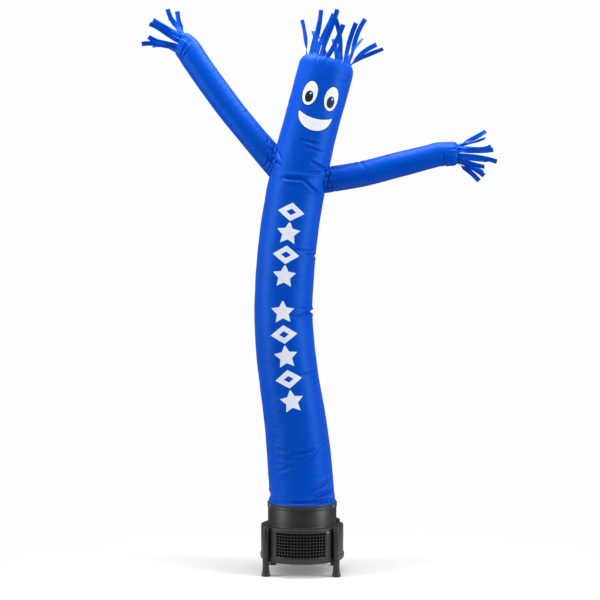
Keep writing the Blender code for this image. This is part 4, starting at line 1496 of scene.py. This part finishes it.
INLET_SIZE = (0.030, 0.022, 0.020)
INLET_ANGLE, INLET_RADIUS = 112.0, 0.2495
SOCKET_RIM, SOCKET_DEPTH = 0.003, 0.006
bpy.ops.mesh.primitive_cube_add(size=1.0)
inlet = bpy.context.object
inlet.name = "mains_inlet_moulding"
inlet.data.transform(Matrix.Diagonal((*INLET_SIZE, 1.0)))
edit(inlet)
bpy.ops.mesh.select_mode(type="FACE")
bpy.ops.mesh.select_all(action="DESELECT")
bpy.ops.object.mode_set(mode="OBJECT")
for face in inlet.data.polygons:
    face.select = face.normal.y < -0.5
bpy.ops.object.mode_set(mode="EDIT")
bpy.ops.mesh.inset(thickness=SOCKET_RIM)
bpy.ops.mesh.extrude_region_move(TRANSFORM_OT_translate={"value": (0, SOCKET_DEPTH, 0)})
bpy.ops.mesh.select_all(action="SELECT")
leave_edit()
soften(inlet, 0.0018, 3)
inlet_turn = Matrix.Rotation(math.radians(INLET_ANGLE), 4, "Z")
inlet_height = HOUSING_TOP + GAP + INLET_SIZE[2] / 2
set_down(inlet, around(INLET_ANGLE, INLET_RADIUS, inlet_height), inlet_turn)
finish_piece(inlet, grille_finish, "moulded_housing", "mains_inlet")

# %% [markdown]
# ## Floor and light
# The floor is a plain pale sheet that fades into the pale background away from the blower, so that only
# the soft shadow under it shows. Large soft lights to both sides give the cloth its paler edges, one
# overhead lights the sleeves' upper sides, and a weak broad one in front fills the face and the print.

# %% Build the stage
FLOOR_NEAR, FLOOR_FAR = 0.9, 2.2  # the floor fades into the background between these distances

bpy.ops.mesh.primitive_plane_add(size=12.0, location=(0, 0, -0.0005))
floor = bpy.context.object
floor.name = "floor"
floor_finish = Finish("floor_paint", Specular_IOR_Level=0.1)
mottle = floor_finish.noise(floor_finish.place(), 2.0, 3.0)
floor_colour = floor_finish.mix(mottle, rgb(0.80, 0.80, 0.80), rgb(0.815, 0.815, 0.82))
floor_finish.surface(floor_colour, 0.75 + mottle * 0.1)
floor_finish.shader.inputs["Emission Color"].default_value = rgb(1.0, 1.0, 1.0)
floor_finish.shader.inputs["Emission Strength"].default_value = 0.12
spot = floor_finish.place()
from_middle = floor_finish.node("ShaderNodeVectorMath", {"operation": "LENGTH"}, {0: spot}, "Value")
fading = from_middle.above((FLOOR_NEAR + FLOOR_FAR) / 2, (FLOOR_FAR - FLOOR_NEAR) / 2)
shaders = floor_finish.tree.nodes
clear = shaders.new("ShaderNodeBsdfTransparent")
join = shaders.new("ShaderNodeMixShader")
floor_finish.put(join.inputs[0], fading)
floor_finish.tree.links.new(floor_finish.shader.outputs[0], join.inputs[1])
floor_finish.tree.links.new(clear.outputs[0], join.inputs[2])
floor_finish.tree.links.new(join.outputs[0], shaders["Material Output"].inputs["Surface"])
floor.data.materials.append(floor_finish.material)


def softbox(name, place, aim, size, power):
    """A large rectangular light that points at a place."""
    bpy.ops.object.light_add(type="AREA", location=place)
    light = bpy.context.object
    light.name = name
    light.data.shape = "RECTANGLE"
    light.data.size, light.data.size_y = size
    light.data.energy = power
    light.rotation_euler = (Vector(aim) - Vector(place)).to_track_quat("-Z", "Y").to_euler()
    return light


lights = [
    softbox("softbox_left", (-4.2, -1.6, 2.6), (0.0, 0.0, 1.9), (2.4, 4.2), 195),
    softbox("softbox_right", (4.2, -1.5, 2.6), (0.0, 0.0, 1.9), (2.4, 4.2), 228),
    softbox("softbox_front", (-0.5, -6.5, 5.2), (0.0, 0.0, 1.9), (4.0, 2.4), 30),
    softbox("softbox_top", (0.0, -0.2, 5.3), (0.0, 0.0, 1.0), (3.6, 2.2), 205),
]

world = bpy.data.worlds.new("studio")
bpy.context.scene.world = world
world.use_nodes = True
nodes, links = world.node_tree.nodes, world.node_tree.links
background = nodes["Background"]
path = nodes.new("ShaderNodeLightPath")
shade = nodes.new("ShaderNodeMapRange")
shade.inputs["To Min"].default_value = 0.16
shade.inputs["To Max"].default_value = 1.0
links.new(path.outputs["Is Camera Ray"], shade.inputs["Value"])
links.new(shade.outputs["Result"], background.inputs["Strength"])
background.inputs["Color"].default_value = rgb(0.98, 0.985, 1.0)
bpy.context.scene.view_settings.view_transform = "Standard"
print(len(lights), "lights")

# %% [markdown]
# ## The sheets of cloth
# Each tube is sewn from one flat sheet, as wide as its girth with the seam and as long as the tube. Air
# holds them stretched. Each fringe is a strip of cloth as long as the mouth is round, cut into ribbons that
# leave part of the cloth away, so its area is smaller than its rectangle. Only each fringe's cloth area is
# worked out below.


for sleeve_cloth, tube in ((left_cloth, left_sleeve), (right_cloth, right_sleeve)):
    root = (left_root if tube is left_sleeve else right_root)(0.0)
for fringe_cloth, tube, rows, base in (
    (head_fringe, body, HEAD_STRIPS, body_cloth),
    (left_fringe, left_sleeve, LEFT_STRIPS, left_cloth),
    (right_fringe, right_sleeve, RIGHT_STRIPS, right_cloth),
):
    mouth = 2 * math.pi * (float(tube.diameter[-1]) / 2 + IN_MOUTH)
    longest = max(row[1] for row in rows) + HEADING
    cloth_area = sum(row[1] for row in rows) * STRIP_WIDTH + mouth * HEADING
